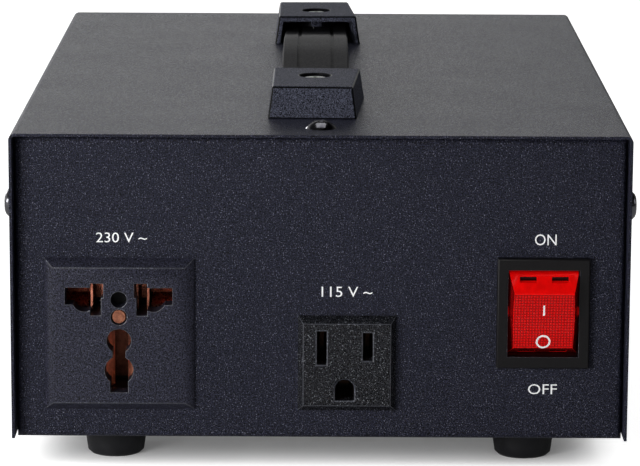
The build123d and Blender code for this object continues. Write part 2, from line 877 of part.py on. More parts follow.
with BuildPart() as universal_socket_rivet:
    rivet_front = panel_front - universal_raise + rivet_sink
    with BuildSketch(facing(rivet_front)):
        with Locations((universal_x, universal_middle + pin_line - lower_hole_drop)):
            Circle(rivet_radius)
    extrude(amount=-rivet_head)
    with BuildSketch(facing(rivet_front)):
        with Locations((universal_x, universal_middle + pin_line - lower_hole_drop)):
            Circle(rivet_shank_radius)
    extrude(amount=rivet_front - universal_rear - universal_back - rivet_tail)
    with BuildSketch(facing(universal_rear + universal_back)):
        with Locations((universal_x, universal_middle + pin_line - lower_hole_drop)):
            Circle(rivet_tail_radius)
    extrude(amount=-rivet_tail)
save(universal_socket_rivet, "universal_socket_rivet")

# American socket
us_lugs = snap_lugs(us_body_height / 2)
us_front = raised_face(us_width, us_height, us_lip, us_raise, us_face_width, us_face_height)
us_rear = panel_front + us_body_depth
us_chamber = panel_front + us_wall
us_slots = (
    (us_pin_shift - us_pin_spacing / 2, us_pin_rise, us_neutral_length),
    (us_pin_shift + us_pin_spacing / 2, us_pin_rise + us_line_rise, us_line_length),
)
us_ground_z = us_pin_rise - us_ground_drop
ground_radius = us_ground_width / 2
with BuildPart() as us_shape:
    add(us_front)
    with BuildSketch(facing(panel_front)):
        Rectangle(us_body_width, us_body_height)
    extrude(amount=-us_body_depth)
    add(us_lugs)
    with BuildSketch(facing(us_rear)):
        for x, z, length in us_slots:
            with Locations((x, us_pin_rise)):
                Rectangle(us_chamber_wide, us_chamber_tall)
        with Locations((us_pin_shift, us_ground_z)):
            Rectangle(us_ground_chamber, us_ground_chamber)
    extrude(amount=us_body_depth - us_wall, mode=Mode.SUBTRACT)
    with BuildSketch(facing(us_chamber)):
        for x, z, length in us_slots:
            with Locations((x, z)):
                Rectangle(us_slot_width, length)
        with Locations((us_pin_shift, us_ground_z + us_ground_height / 2 - ground_radius)):
            Circle(ground_radius)
        with Locations((us_pin_shift, us_ground_z - ground_radius / 2)):
            Rectangle(us_ground_width, us_ground_height - ground_radius)
    extrude(amount=us_raise + us_wall, mode=Mode.SUBTRACT)
    slot_rims = us_shape.faces().sort_by(Axis.Y)[0].inner_wires().edges()
    chamfer(slot_rims, length=us_slot_chamfer)
with BuildPart() as us_socket_body:
    with Locations((us_x, 0, us_middle)):
        add(us_shape.part)
save(us_socket_body, "us_socket_body")

with BuildPart() as us_socket_back:
    with BuildSketch(facing(us_rear)):
        with Locations((us_x, us_middle)):
            Rectangle(us_body_width, us_body_height)
            with Locations(*[(x, us_pin_rise) for x, z, length in us_slots], (us_pin_shift, us_ground_z)):
                Rectangle(terminal_width + 2 * tab_gap, tab_gauge + 2 * tab_gap, mode=Mode.SUBTRACT)
    extrude(amount=-us_back)
save(us_socket_back, "us_socket_back")

us_jaw_depth = us_body_depth - us_wall - contact_gap
us_blade_jaw = spring_jaw(us_jaw_mouth, us_jaw_waist, us_jaw_root, us_jaw_depth, us_jaw_width)
us_ground_jaw = spring_jaw(us_ground_mouth, us_ground_waist, us_ground_root, us_jaw_depth, us_ground_jaw_width)
with BuildPart() as us_live_contacts:
    for x, z, length in us_slots:
        with Locations((us_x + x, us_rear, us_middle + us_pin_rise)):
            add(us_blade_jaw)
            Box(
                terminal_width,
                us_back + tab_length,
                tab_gauge,
                align=(Align.CENTER, Align.MIN, Align.CENTER),
            )
save(us_live_contacts, "us_live_contacts")

with BuildPart() as us_earth_contact:
    with Locations((us_x + us_pin_shift, us_rear, us_middle + us_ground_z)):
        add(us_ground_jaw)
        Box(
            terminal_width,
            us_back + tab_length,
            tab_gauge,
            align=(Align.CENTER, Align.MIN, Align.CENTER),
        )
save(us_earth_contact, "us_earth_contact")

# Rocker switch. The shapes below are made about the rocker's pivot and placed with it.
switch_lugs = snap_lugs(housing_height / 2)
bezel_front = panel_front - bezel_raise
pivot_y = bezel_front + pivot_depth
well_floor = bezel_front + well_depth
housing_rear = well_floor + housing_back
housing_length = housing_rear - panel_front
with BuildPart() as switch_housing:
    with BuildSketch(facing(panel_front)):
        with Locations((switch_x, switch_middle)):
            Rectangle(bezel_width, bezel_height)
    extrude(amount=bezel_raise)
    fillet(switch_housing.edges().group_by(Axis.Y)[0], radius=bezel_edge)
    with BuildSketch(facing(panel_front)):
        with Locations((switch_x, switch_middle)):
            Rectangle(housing_width, housing_height)
    extrude(amount=-housing_length)
    with Locations((switch_x, 0, switch_middle)):
        add(switch_lugs)
    with BuildSketch(facing(bezel_front)):
        with Locations((switch_x, switch_middle)):
            Rectangle(opening_width, opening_height)
    extrude(amount=-well_depth, mode=Mode.SUBTRACT)
    # Bearings for the rocker's pivot.
    with BuildSketch(Plane.YZ.offset(switch_x - opening_width / 2 - pivot_reach - pivot_gap)):
        with Locations((pivot_y, switch_middle)):
            Circle(pivot_radius + pivot_gap)
    extrude(amount=opening_width + 2 * (pivot_reach + pivot_gap), mode=Mode.SUBTRACT)
    # Slots in the floor for the terminals.
    with BuildSketch(facing(well_floor)):
        with Locations((switch_x, switch_middle)):
            with Locations(*[(side * pole_spacing / 2, z) for side in (-1, 1) for z in (0, -terminal_row)]):
                Rectangle(terminal_width + 2 * shank_gap, terminal_gauge + 2 * shank_gap)
    extrude(amount=-housing_back, mode=Mode.SUBTRACT)
save(switch_housing, "switch_housing")

lever_y = pivot_y + lever_depth
fulcrum_y = lever_y + lever_gauge / 2 + fulcrum_gap
terminal_end = housing_rear + terminal_reach
with BuildPart() as switch_common_terminals:
    with Locations((switch_x, fulcrum_y, switch_middle)):
        with Locations((-pole_spacing / 2, 0, 0), (pole_spacing / 2, 0, 0)):
            Box(
                terminal_width,
                terminal_end - fulcrum_y,
                terminal_gauge,
                align=(Align.CENTER, Align.MIN, Align.CENTER),
            )
save(switch_common_terminals, "switch_common_terminals")

with BuildPart() as switch_feed_terminals:
    for side in (-1, 1):
        pole_x = switch_x + side * pole_spacing / 2
        with Locations((pole_x, well_floor - terminal_gauge, switch_middle - terminal_row)):
            Box(
                terminal_width,
                terminal_end - well_floor + terminal_gauge,
                terminal_gauge,
                align=(Align.CENTER, Align.MIN, Align.CENTER),
            )
        with Locations((pole_x, well_floor, switch_middle - terminal_row)):
            Box(terminal_width, terminal_gauge, terminal_foot, align=(Align.CENTER, Align.MAX, Align.MIN))
        with BuildSketch(facing(well_floor - terminal_gauge)):
            with Locations((pole_x, switch_middle - feed_spot)):
                Circle(contact_radius)
        extrude(amount=contact_height)
save(switch_feed_terminals, "switch_feed_terminals")

lamp_y = well_floor - lamp_radius
with BuildPart() as switch_lamp:
    with Locations((switch_x, lamp_y, switch_middle)):
        Cylinder(lamp_radius, lamp_length)
    fillet(switch_lamp.edges().filter_by(GeomType.CIRCLE), radius=lamp_radius / 2)
save(switch_lamp, "switch_lamp")

rocker_width = opening_width - 2 * rocker_gap
roof_y = rocker_rise - rocker_dip - rocker_wall
stem_rows = (-pole_spacing / 2, pole_spacing / 2)
with BuildPart() as rocker_shape:
    with BuildSketch(Plane.YZ):
        with BuildLine():
            Line((rocker_skirt, -rocker_end), (-rocker_end_rise, -rocker_end))
            Line((-rocker_end_rise, -rocker_end), (-rocker_rise, -rocker_face))
            ThreePointArc((-rocker_rise, -rocker_face), (rocker_dip - rocker_rise, 0), (-rocker_rise, rocker_face))
            Line((-rocker_rise, rocker_face), (-rocker_end_rise, rocker_end))
            Line((-rocker_end_rise, rocker_end), (rocker_skirt, rocker_end))
            Line((rocker_skirt, rocker_end), (rocker_skirt, -rocker_end))
        make_face()
    extrude(amount=rocker_width / 2, both=True)
    long_edges = rocker_shape.edges().filter_by(Axis.X).sort_by(Axis.Y)[:2]
    fillet(long_edges, radius=rocker_round)
    with Locations((0, -roof_y, 0)):
        Box(
            rocker_width - 2 * rocker_wall,
            roof_y + rocker_skirt,
            2 * rocker_face,
            align=(Align.CENTER, Align.MIN, Align.CENTER),
            mode=Mode.SUBTRACT,
        )
    # Two shallow windows near each end.
    with BuildSketch(facing(-rocker_rise)):
        with GridLocations(rocker_window_space, 2 * rocker_end - 2 * rocker_window_height, 2, 2):
            Rectangle(rocker_window_width, rocker_window_height)
    extrude(amount=rocker_window_depth - rocker_rise + rocker_end_rise, mode=Mode.SUBTRACT)
    # Stems for the plungers, and the pivot.
    with BuildSketch(facing(stem_reach)):
        with Locations(*[(x, 0) for x in stem_rows]):
            Circle(stem_radius)
    extrude(amount=stem_reach + roof_y)
    with BuildSketch(facing(stem_reach)):
        with Locations(*[(x, 0) for x in stem_rows]):
            Circle(plunger_radius + plunger_gap)
    extrude(amount=stem_reach - plunger_top, mode=Mode.SUBTRACT)
    with BuildSketch(Plane.YZ.offset(rocker_width / 2)):
        Circle(pivot_radius)
    extrude(amount=rocker_gap + pivot_reach)
    with BuildSketch(Plane.YZ.offset(-rocker_width / 2)):
        Circle(pivot_radius)
    extrude(amount=-(rocker_gap + pivot_reach))
rocker_place = Location((switch_x, pivot_y, switch_middle), (rocker_throw, 0, 0))
with BuildPart() as rocker:
    with Locations(rocker_place):
        add(rocker_shape.part)
save(rocker, "rocker")

with BuildPart() as plunger_shape:
    with BuildSketch(facing(plunger_top)):
        with Locations(*[(x, 0) for x in stem_rows]):
            Circle(plunger_radius)
    extrude(amount=plunger_top - plunger_reach)
    fillet(plunger_shape.edges().group_by(Axis.Y)[-1], radius=plunger_radius / 2)
with BuildPart() as rocker_plungers:
    with Locations(rocker_place):
        add(plunger_shape.part)
save(rocker_plungers, "rocker_plungers")

with BuildPart() as contact_levers:
    for x in stem_rows:
        with Locations(Location((switch_x + x, lever_y, switch_middle), (-lever_tilt, 0, 0))):
            Box(lever_width, lever_gauge, lever_length)
            with Locations(Location((0, lever_gauge / 2, -feed_spot), (-90, 0, 0))):
                Cylinder(contact_radius, contact_height, align=(Align.CENTER, Align.CENTER, Align.MIN))
save(contact_levers, "contact_levers")

# Carrying handle: two caps, their screws, and the strap in five pieces
cap_interior = cap_height - cap_roof
boss_under = cap_height - cap_bore_depth - cap_boss_floor
bush_height = boss_under
with BuildPart() as cap_shape:
    with BuildSketch(Plane.XY):
        with BuildLine():
            Polyline(
                (-cap_outer_width / 2, -cap_outer_reach),
                (cap_outer_width / 2, -cap_outer_reach),
                (cap_inner_width / 2, cap_inner_reach),
                (-cap_inner_width / 2, cap_inner_reach),
                close=True,
            )
        make_face()
    extrude(amount=cap_height, taper=cap_draft)
    outer_edges = cap_shape.edges().filter_by(lambda edge: edge.center().Z > cap_height / 4)
    fillet(outer_edges, radius=cap_round)
    with BuildSketch(Plane.XY):
        with BuildLine():
            Polyline(
                (-cap_outer_width / 2 + cap_wall, -cap_outer_reach + cap_wall),
                (cap_outer_width / 2 - cap_wall, -cap_outer_reach + cap_wall),
                (cap_inner_width / 2 - cap_wall, cap_inner_reach + cap_wall),
                (-cap_inner_width / 2 + cap_wall, cap_inner_reach + cap_wall),
                close=True,
            )
        make_face()
    extrude(amount=cap_interior, taper=cap_draft, mode=Mode.SUBTRACT)
    # The boss that the screw clamps on its bush.
    with BuildSketch(Plane.XY.offset(boss_under)):
        Circle(cap_boss_radius)
    extrude(amount=cap_interior - boss_under)
    with BuildSketch(Plane.XY.offset(cap_height - cap_bore_depth)):
        Circle(cap_bore_radius)
    extrude(amount=cap_bore_depth, mode=Mode.SUBTRACT)
    with BuildSketch(Plane.XY):
        Circle(screw_radius + hole_gap)
    extrude(amount=cap_height, mode=Mode.SUBTRACT)
cap_places = (
    ("handle_cap_front", Location((handle_x, handle_rows[0], cover_top), (0, 0, -cap_yaw))),
    ("handle_cap_rear", Location((handle_x, handle_rows[1], cover_top), (0, 0, 180 + cap_yaw))),
)
for cap_name, cap_place in cap_places:
    with BuildPart() as handle_cap:
        with Locations(cap_place):
            add(cap_shape.part)
    save(handle_cap, cap_name)

with BuildPart() as handle_bushes:
    with BuildSketch(Plane.XY.offset(cover_top)):
        with Locations(*[(handle_x, y) for y in handle_rows]):
            Circle(bush_radius)
            Circle(screw_radius + shank_gap, mode=Mode.SUBTRACT)
    extrude(amount=bush_height)
save(handle_bushes, "handle_bushes")

with BuildPart() as handle_screw:
    with BuildSketch(Plane.XY):
        Circle(handle_head_radius)
    extrude(amount=handle_head_height)
    fillet(handle_screw.edges().group_by(Axis.Z)[-1], radius=handle_head_height / 3)
    with BuildSketch(Plane.XY.offset(handle_head_height)):
        Rectangle(cross_length, cross_width)
        Rectangle(cross_width, cross_length)
    extrude(amount=-cross_depth, mode=Mode.SUBTRACT)
    with BuildSketch(Plane.XY):
        Circle(screw_radius)
    extrude(amount=-(cap_boss_floor + bush_height + cover_gauge + nut_height + washer_height))
with BuildPart() as handle_screws:
    with Locations(*[(handle_x, y, cover_top + boss_under + cap_boss_floor) for y in handle_rows]):
        add(handle_screw.part)
save(handle_screws, "handle_screws")

with BuildPart() as handle_nuts:
    with Locations(*[(handle_x, y, cover_under - nut_height) for y in handle_rows]):
        add(plain_nut)
save(handle_nuts, "handle_nuts")

slope = radians(strap_slope)
lifted = radians(strap_slope + strap_raise)
ramp_run = strap_ramp * cos(slope)
strap_travel = strap_ramp * (cos(slope) - cos(lifted))
strap_z = cover_top + strap_lift
middle_z = strap_z + strap_ramp * sin(slope)
bend_front = handle_rows[0] + cap_inner_reach + strap_exit
bend_rear = handle_rows[1] - cap_inner_reach - strap_exit
middle_front = bend_front + ramp_run
middle_rear = bend_rear - ramp_run
slot_half = bush_radius + strap_slot_gap


def strap_piece(length):
    """A length of strap from Y = 0 towards +Y, with two grooves along its top."""
    with BuildPart() as piece:
        Box(
            strap_width,
            length,
            strap_thickness,
            align=(Align.CENTER, Align.MIN, Align.CENTER),
        )
        with BuildSketch(Plane.XY.offset(strap_thickness / 2)):
            with Locations((-strap_groove_spacing / 2, length / 2), (strap_groove_spacing / 2, length / 2)):
                Rectangle(strap_groove_width, length)
        extrude(amount=-strap_groove_depth, mode=Mode.SUBTRACT)
    return piece.part


ramp_piece = strap_piece(strap_ramp - 2 * strap_hinge_gap)
middle_piece = strap_piece(middle_rear - middle_front - 2 * strap_hinge_gap)
end_length = cap_inner_reach + strap_exit + strap_tail - strap_hinge_gap
plain_end = strap_piece(end_length)
with BuildPart() as strap_end:
    with Locations((0, -strap_tail, 0)):
        add(plain_end)
    chamfer(strap_end.edges().filter_by(Axis.Z).group_by(Axis.Y)[0], length=strap_corner)
    # The slot that slides along the screw's bush.
    with BuildSketch(Plane.XY.offset(-strap_thickness / 2)):
        Circle(slot_half)
        with Locations((0, -strap_travel - strap_spare)):
            Circle(slot_half)
        with Locations((0, -(strap_travel + strap_spare) / 2)):
            Rectangle(2 * slot_half, strap_travel + strap_spare)
    extrude(amount=strap_thickness, mode=Mode.SUBTRACT)

gap_run = strap_hinge_gap * cos(slope)
gap_climb = strap_hinge_gap * sin(slope)
strap_places = (
    ("strap_front_end", strap_end.part, Location((handle_x, handle_rows[0], strap_z))),
    (
        "strap_front_run",
        ramp_piece,
        Location((handle_x, bend_front + gap_run, strap_z + gap_climb), (strap_slope, 0, 0)),
    ),
    ("strap_middle", middle_piece, Location((handle_x, middle_front + strap_hinge_gap, middle_z))),
    (
        "strap_rear_run",
        ramp_piece,
        Location((handle_x, middle_rear + gap_run, middle_z - gap_climb), (-strap_slope, 0, 0)),
    ),
    ("strap_rear_end", strap_end.part, Location((handle_x, handle_rows[1], strap_z), (0, 0, 180))),
)
for strap_name, strap_shape, strap_place in strap_places:
    with BuildPart() as strap:
        with Locations(strap_place):
            add(strap_shape)
    save(strap, strap_name)

# Toroidal transformer
toroid_bottom = base_top + pad_height
wrapped_height = core_height + 2 * winding_depth
wound_outer = core_outer_radius + winding_depth
wound_inner = core_inner_radius - winding_depth
toroid_top = toroid_bottom + wrapped_height
core_middle = toroid_bottom + wrapped_height / 2
inner_wind = winding_depth - wrap_depth
with BuildPart() as toroid_core:
    with BuildSketch(Plane.XY.offset(core_middle - core_height / 2)):
        with Locations((0, toroid_y)):
            Circle(core_outer_radius)
            Circle(core_inner_radius, mode=Mode.SUBTRACT)
    extrude(amount=core_height)
save(toroid_core, "toroid_core")


def ring(inner_radius, outer_radius, height, corner, hole_gap_each, name):
    """A closed ring around the core, with rounded corners and a hollow that follows what it wraps."""
    hollow_inner = inner_radius + hole_gap_each
    hollow_outer = outer_radius - hole_gap_each
    hollow_height = height - 2 * hole_gap_each
    hollow_corner = max(corner - hole_gap_each, wrap_gap)
    with BuildPart() as hollow:
        with BuildSketch(Plane.XZ) as hollow_section:
            with Locations(((hollow_inner + hollow_outer) / 2, 0)):
                RectangleRounded(hollow_outer - hollow_inner, hollow_height, hollow_corner)
        revolve(axis=Axis.Z)
    with BuildPart() as wound:
        with BuildSketch(Plane.XZ):
            with Locations(((inner_radius + outer_radius) / 2, 0)):
                RectangleRounded(outer_radius - inner_radius, height, corner)
        revolve(axis=Axis.Z)
        add(hollow.part, mode=Mode.SUBTRACT)
    with BuildPart() as placed:
        with Locations((0, toroid_y, core_middle)):
            add(wound.part)
    save(placed, name)


ring(
    core_inner_radius - inner_wind,
    core_outer_radius + inner_wind,
    core_height + 2 * inner_wind,
    winding_round - wrap_depth,
    inner_wind - wrap_gap,
    "toroid_winding",
)
ring(
    wound_inner,
    wound_outer,
    wrapped_height,
    winding_round,
    wrap_depth - wrap_gap,
    "toroid_wrap",
)

with BuildPart() as toroid_pads:
    for z in (base_top, toroid_top):
        with BuildSketch(Plane.XY.offset(z)):
            with Locations((0, toroid_y)):
                Circle(pad_radius)
                Circle(pad_bore, mode=Mode.SUBTRACT)
        extrude(amount=pad_height)
save(toroid_pads, "toroid_pads")

dish_z = toroid_top + pad_height
with BuildPart() as toroid_dish:
    with BuildSketch(Plane.XZ):
        with BuildLine():
            Polyline(
                (bolt_radius + bolt_gap, -dish_drop),
                (dish_flat, -dish_drop),
                (dish_shoulder, 0),
                (dish_radius, 0),
                (dish_radius, dish_gauge),
                (dish_shoulder - dish_gauge / 2, dish_gauge),
                (dish_flat - dish_gauge / 2, dish_gauge - dish_drop),
                (bolt_radius + bolt_gap, dish_gauge - dish_drop),
                close=True,
            )
        make_face()
    revolve(axis=Axis.Z)
with BuildPart() as toroid_washer:
    with Locations((0, toroid_y, dish_z)):
        add(toroid_dish.part)
save(toroid_washer, "toroid_washer")

bolt_top = dish_z - dish_drop + dish_gauge + bolt_nut_height + bolt_end
with BuildPart() as toroid_bolt:
    with BuildSketch(Plane.XY.offset(base_z - bolt_head_height)):
        with Locations((0, toroid_y)):
            RegularPolygon(radius=bolt_head_across / 2, side_count=nut_sides, major_radius=False)
    extrude(amount=bolt_head_height)
    with BuildSketch(Plane.XY.offset(base_z)):
        with Locations((0, toroid_y)):
            Circle(bolt_radius)
    extrude(amount=bolt_top - base_z)
save(toroid_bolt, "toroid_bolt")

toroid_nut_shape = hex_nut(bolt_head_across, bolt_nut_height, bolt_radius + shank_gap)
with BuildPart() as toroid_nut:
    with Locations((0, toroid_y, dish_z - dish_drop + dish_gauge)):
        add(toroid_nut_shape)
save(toroid_nut, "toroid_nut")

# Mains inlet
inlet_face = panel_rear + inlet_flange
inlet_end = panel_rear - inlet_body_depth
inlet_pins_at = (
    (-inlet_pin_spacing / 2, -inlet_pin_drop),
    (inlet_pin_spacing / 2, -inlet_pin_drop),
    (0, inlet_earth_rise - inlet_pin_drop),
)
with BuildPart() as inlet_body:
    with BuildSketch(facing(inlet_face)):
        with Locations((inlet_x, inlet_middle)):
            RectangleRounded(inlet_flange_width, inlet_flange_height, inlet_corner)
            with GridLocations(inlet_screw_spacing, 0, 2, 1):
                Circle(small_screw_radius + seat_gap, mode=Mode.SUBTRACT)
    extrude(amount=inlet_flange)
    with BuildSketch(facing(panel_rear)):
        with Locations((inlet_x, inlet_middle)):
            Rectangle(inlet_body_width, inlet_body_height)
    extrude(amount=inlet_body_depth)
    with BuildSketch(facing(inlet_face)) as inlet_mouth:
        with Locations((inlet_x, inlet_middle)):
            Rectangle(inlet_mouth_width, inlet_mouth_height)
        chamfer(inlet_mouth.vertices().group_by(Axis.Y)[-1], length=inlet_mouth_cut)
    extrude(amount=inlet_mouth_depth, mode=Mode.SUBTRACT)
    with BuildSketch(facing(inlet_face)):
        with Locations((inlet_x, inlet_middle)):
            with Locations(*inlet_pins_at):
                Rectangle(inlet_pin_width + 2 * shank_gap, inlet_pin_height + 2 * shank_gap)
    extrude(amount=inlet_flange + inlet_body_depth, mode=Mode.SUBTRACT)
save(inlet_body, "inlet_body")

with BuildPart() as inlet_pins:
    with BuildSketch(facing(inlet_face - inlet_pin_sink)):
        with Locations((inlet_x, inlet_middle)):
            with Locations(*inlet_pins_at):
                Rectangle(inlet_pin_width, inlet_pin_height)
    extrude(amount=inlet_face - inlet_pin_sink - inlet_end)
    with BuildSketch(facing(inlet_end)):
        with Locations((inlet_x, inlet_middle)):
            with Locations(*inlet_pins_at):
                Rectangle(tab_gauge, tab_width)
    extrude(amount=tab_length)
save(inlet_pins, "inlet_pins")

# Voltage selector
selector_face = panel_rear + selector_flange
selector_end = panel_rear - selector_body_depth
slab_front = selector_face - selector_window_depth
knob_height = selector_window_height - 2 * selector_gap
slab_width = selector_knob_width + 2 * selector_slab_margin
slab_height = knob_height + 2 * selector_slab_margin
with BuildPart() as selector_body:
    with BuildSketch(facing(selector_face)):
        with Locations((selector_x, selector_middle)):
            Rectangle(selector_flange_width, selector_flange_height)
            with GridLocations(selector_screw_spacing, 0, 2, 1):
                Circle(small_screw_radius + seat_gap, mode=Mode.SUBTRACT)
    extrude(amount=selector_flange)
    with BuildSketch(facing(panel_rear)):
        with Locations((selector_x, selector_middle)):
            Rectangle(selector_body_width, selector_body_height)
    extrude(amount=selector_body_depth)
    with BuildSketch(facing(selector_face)):
        with Locations((selector_x, selector_middle)):
            Rectangle(selector_window_width, selector_window_height)
    extrude(amount=selector_window_depth, mode=Mode.SUBTRACT)
    with BuildSketch(facing(slab_front)):
        with Locations((selector_x, selector_middle)):
            Rectangle(slab_width + selector_travel + 2 * selector_gap, slab_height + 2 * selector_gap)
    extrude(amount=selector_slab_depth + 2 * selector_gap, mode=Mode.SUBTRACT)
    with BuildSketch(facing(selector_end)):
        with Locations((selector_x, selector_middle)):
            with GridLocations(selector_tab_pitch, 0, selector_tab_count, 1):
                Rectangle(selector_tab_width + 2 * shank_gap, tab_gauge + 2 * shank_gap)
    extrude(amount=-selector_slab_depth, mode=Mode.SUBTRACT)
save(selector_body, "selector_body")

with BuildPart() as selector_slider:
    knob_x = selector_x - selector_travel / 2
    with BuildSketch(facing(selector_face - selector_knob_proud)):
        with Locations((knob_x, selector_middle)):
            Rectangle(selector_knob_width, knob_height)
    extrude(amount=selector_window_depth - selector_knob_proud + selector_gap)
    with BuildSketch(facing(selector_face - selector_knob_proud)):
        with Locations((knob_x, selector_middle)):
            Rectangle(selector_notch_width, knob_height)
    extrude(amount=selector_notch_depth, mode=Mode.SUBTRACT)
    with BuildSketch(facing(slab_front - selector_gap)):
        with Locations((knob_x, selector_middle)):
            Rectangle(slab_width, slab_height)
    extrude(amount=selector_slab_depth)
save(selector_slider, "selector_slider")

with BuildPart() as selector_tabs:
    with BuildSketch(facing(selector_end + selector_slab_depth)):
        with Locations((selector_x, selector_middle)):
            with GridLocations(selector_tab_pitch, 0, selector_tab_count, 1):
                Rectangle(selector_tab_width, tab_gauge)
    extrude(amount=selector_slab_depth + selector_tab_length)
save(selector_tabs, "selector_tabs")

# The small screws of the inlet and the selector, heads outside the rear panel, nuts inside it
rear_fixings = [
    (inlet_x - inlet_screw_spacing / 2, inlet_middle, inlet_face),
    (inlet_x + inlet_screw_spacing / 2, inlet_middle, inlet_face),
    (selector_x - selector_screw_spacing / 2, selector_middle, selector_face),
    (selector_x + selector_screw_spacing / 2, selector_middle, selector_face),
]
with BuildPart() as small_screw:
    with BuildSketch(Plane.XY):
        Circle(small_head_radius)
    extrude(amount=small_head_height)
    fillet(small_screw.edges().group_by(Axis.Z)[-1], radius=small_head_height / 2)
    with BuildSketch(Plane.XY.offset(small_head_height)):
        Rectangle(2 * small_screw_radius, cross_width / 2)
        Rectangle(cross_width / 2, 2 * small_screw_radius)
    extrude(amount=-small_head_height / 2, mode=Mode.SUBTRACT)
    with BuildSketch(Plane.XY):
        Circle(small_screw_radius)
    extrude(amount=-small_screw_length)
with BuildPart() as rear_screws:
    for x, z, y in rear_fixings:
        with Locations(Location((x, y, z), (-90, 0, 0))):
            add(small_screw.part)
save(rear_screws, "rear_screws")

small_nut = hex_nut(small_nut_across, small_nut_height, small_screw_radius + shank_gap)
with BuildPart() as rear_nuts:
    for x, z, y in rear_fixings:
        with Locations(Location((x, panel_rear - chassis_gauge, z), (90, 0, 0))):
            add(small_nut)
save(rear_nuts, "rear_nuts")

# Circuit breaker
breaker_face = panel_rear - chassis_gauge
bush_end = panel_rear + breaker_bush_length
breaker_bore = breaker_button_seat + breaker_travel + breaker_button_spare
with BuildPart() as breaker_body:
    with Locations((breaker_x, breaker_face, breaker_middle)):
        Box(
            breaker_body_width,
            breaker_body_depth,
            breaker_body_height,
            align=(Align.CENTER, Align.MAX, Align.CENTER),
        )
    with BuildSketch(facing(bush_end)):
        with Locations((breaker_x, breaker_middle)):
            Circle(breaker_bush_radius)
    extrude(amount=bush_end - breaker_face)
    with BuildSketch(facing(bush_end)):
        with Locations((breaker_x, breaker_middle)):
            Circle(breaker_button_radius + breaker_button_gap)
    extrude(amount=breaker_bore, mode=Mode.SUBTRACT)
save(breaker_body, "breaker_body")

with BuildPart() as breaker_ring_nut:
    with BuildSketch(facing(panel_rear)):
        with Locations((breaker_x, breaker_middle)):
            RegularPolygon(radius=breaker_ring_across / 2, side_count=nut_sides, major_radius=False)
            Circle(breaker_bush_radius + shank_gap, mode=Mode.SUBTRACT)
    extrude(amount=-breaker_ring_height)
save(breaker_ring_nut, "breaker_ring_nut")

with BuildPart() as breaker_button:
    with BuildSketch(facing(bush_end + breaker_button_proud)):
        with Locations((breaker_x, breaker_middle)):
            Circle(breaker_button_radius)
    extrude(amount=breaker_button_proud + breaker_button_seat)
    fillet(breaker_button.edges().group_by(Axis.Y)[-1], radius=breaker_button_radius / 4)
save(breaker_button, "breaker_button")

breaker_back = breaker_face - breaker_body_depth
with BuildPart() as breaker_tabs:
    for side in (-1, 1):
        with Locations((breaker_x, breaker_back, breaker_middle + side * breaker_tab_spacing / 2)):
            Box(tab_width, tab_length, tab_gauge, align=(Align.CENTER, Align.MAX, Align.CENTER))
save(breaker_tabs, "breaker_tabs")

# Earth stud with its lugs and nut
earth_screw = domed_screw(stud_length)
with BuildPart() as earth_stud:
    with Locations(Location((stud_x, stud_y, base_z), (180, 0, 0))):
        add(earth_screw)
save(earth_stud, "earth_stud")

lug_turns = (0, 90, 180)
with BuildPart() as lug_shape:
    with BuildSketch(Plane.XY):
        Circle(lug_radius)
        with Locations(((lug_radius + lug_tail_length) / 2, 0)):
            Rectangle(lug_radius + lug_tail_length, lug_tail_width)
        Circle(screw_radius + hole_gap, mode=Mode.SUBTRACT)
    extrude(amount=lug_gauge)
with BuildPart() as earth_lugs:
    for layer, turn in enumerate(lug_turns):
        with Locations(Location((stud_x, stud_y, base_top + layer * (lug_gauge + lug_gap)), (0, 0, turn))):
            add(lug_shape.part)
save(earth_lugs, "earth_lugs")

with BuildPart() as earth_nut:
    with Locations((stud_x, stud_y, base_top + len(lug_turns) * (lug_gauge + lug_gap))):
        add(plain_nut)
save(earth_nut, "earth_nut")

# Push-on sleeves for every tab: tip of the tab, the way it points, its width across and upright,
# and its length
universal_tip = universal_rear + universal_back + tab_length
us_tip = us_rear + us_back + tab_length
inlet_tip = inlet_end - tab_length
breaker_tip = breaker_back - tab_length
selector_tip = selector_end - selector_tab_length
switch_tabs = [
    (switch_x + side * pole_spacing / 2, terminal_end, switch_middle - drop)
    for drop in (0, terminal_row)
    for side in (-1, 1)
]
universal_tabs = [
    (universal_x - universal_tab_x, universal_tip, universal_middle + pin_line),
    (universal_x + universal_tab_x, universal_tip, universal_middle + pin_line),
    (universal_x, universal_tip, universal_middle + pin_line - earth_tab_drop),
]
us_tabs = [(us_x + x, us_tip, us_middle + us_pin_rise) for x, z, length in us_slots]
us_tabs.append((us_x + us_pin_shift, us_tip, us_middle + us_ground_z))
inlet_tabs = [(inlet_x + x, inlet_tip, inlet_middle + z) for x, z in inlet_pins_at]
breaker_tab_tips = [
    (breaker_x, breaker_tip, breaker_middle + side * breaker_tab_spacing / 2) for side in (-1, 1)
]
selector_tab_tips = [
    (selector_x + step * selector_tab_pitch, selector_tip, selector_middle) for step in (-1, 0, 1)
]
tab_groups = (
    (universal_tabs, 1, tab_width, tab_gauge, tab_length),
    (us_tabs, 1, terminal_width, tab_gauge, tab_length),
    (switch_tabs, 1, terminal_width, terminal_gauge, terminal_reach),
    (inlet_tabs, -1, tab_gauge, tab_width, tab_length),
    (breaker_tab_tips, -1, tab_width, tab_gauge, tab_length),
    (selector_tab_tips, -1, selector_tab_width, tab_gauge, selector_tab_length),
)
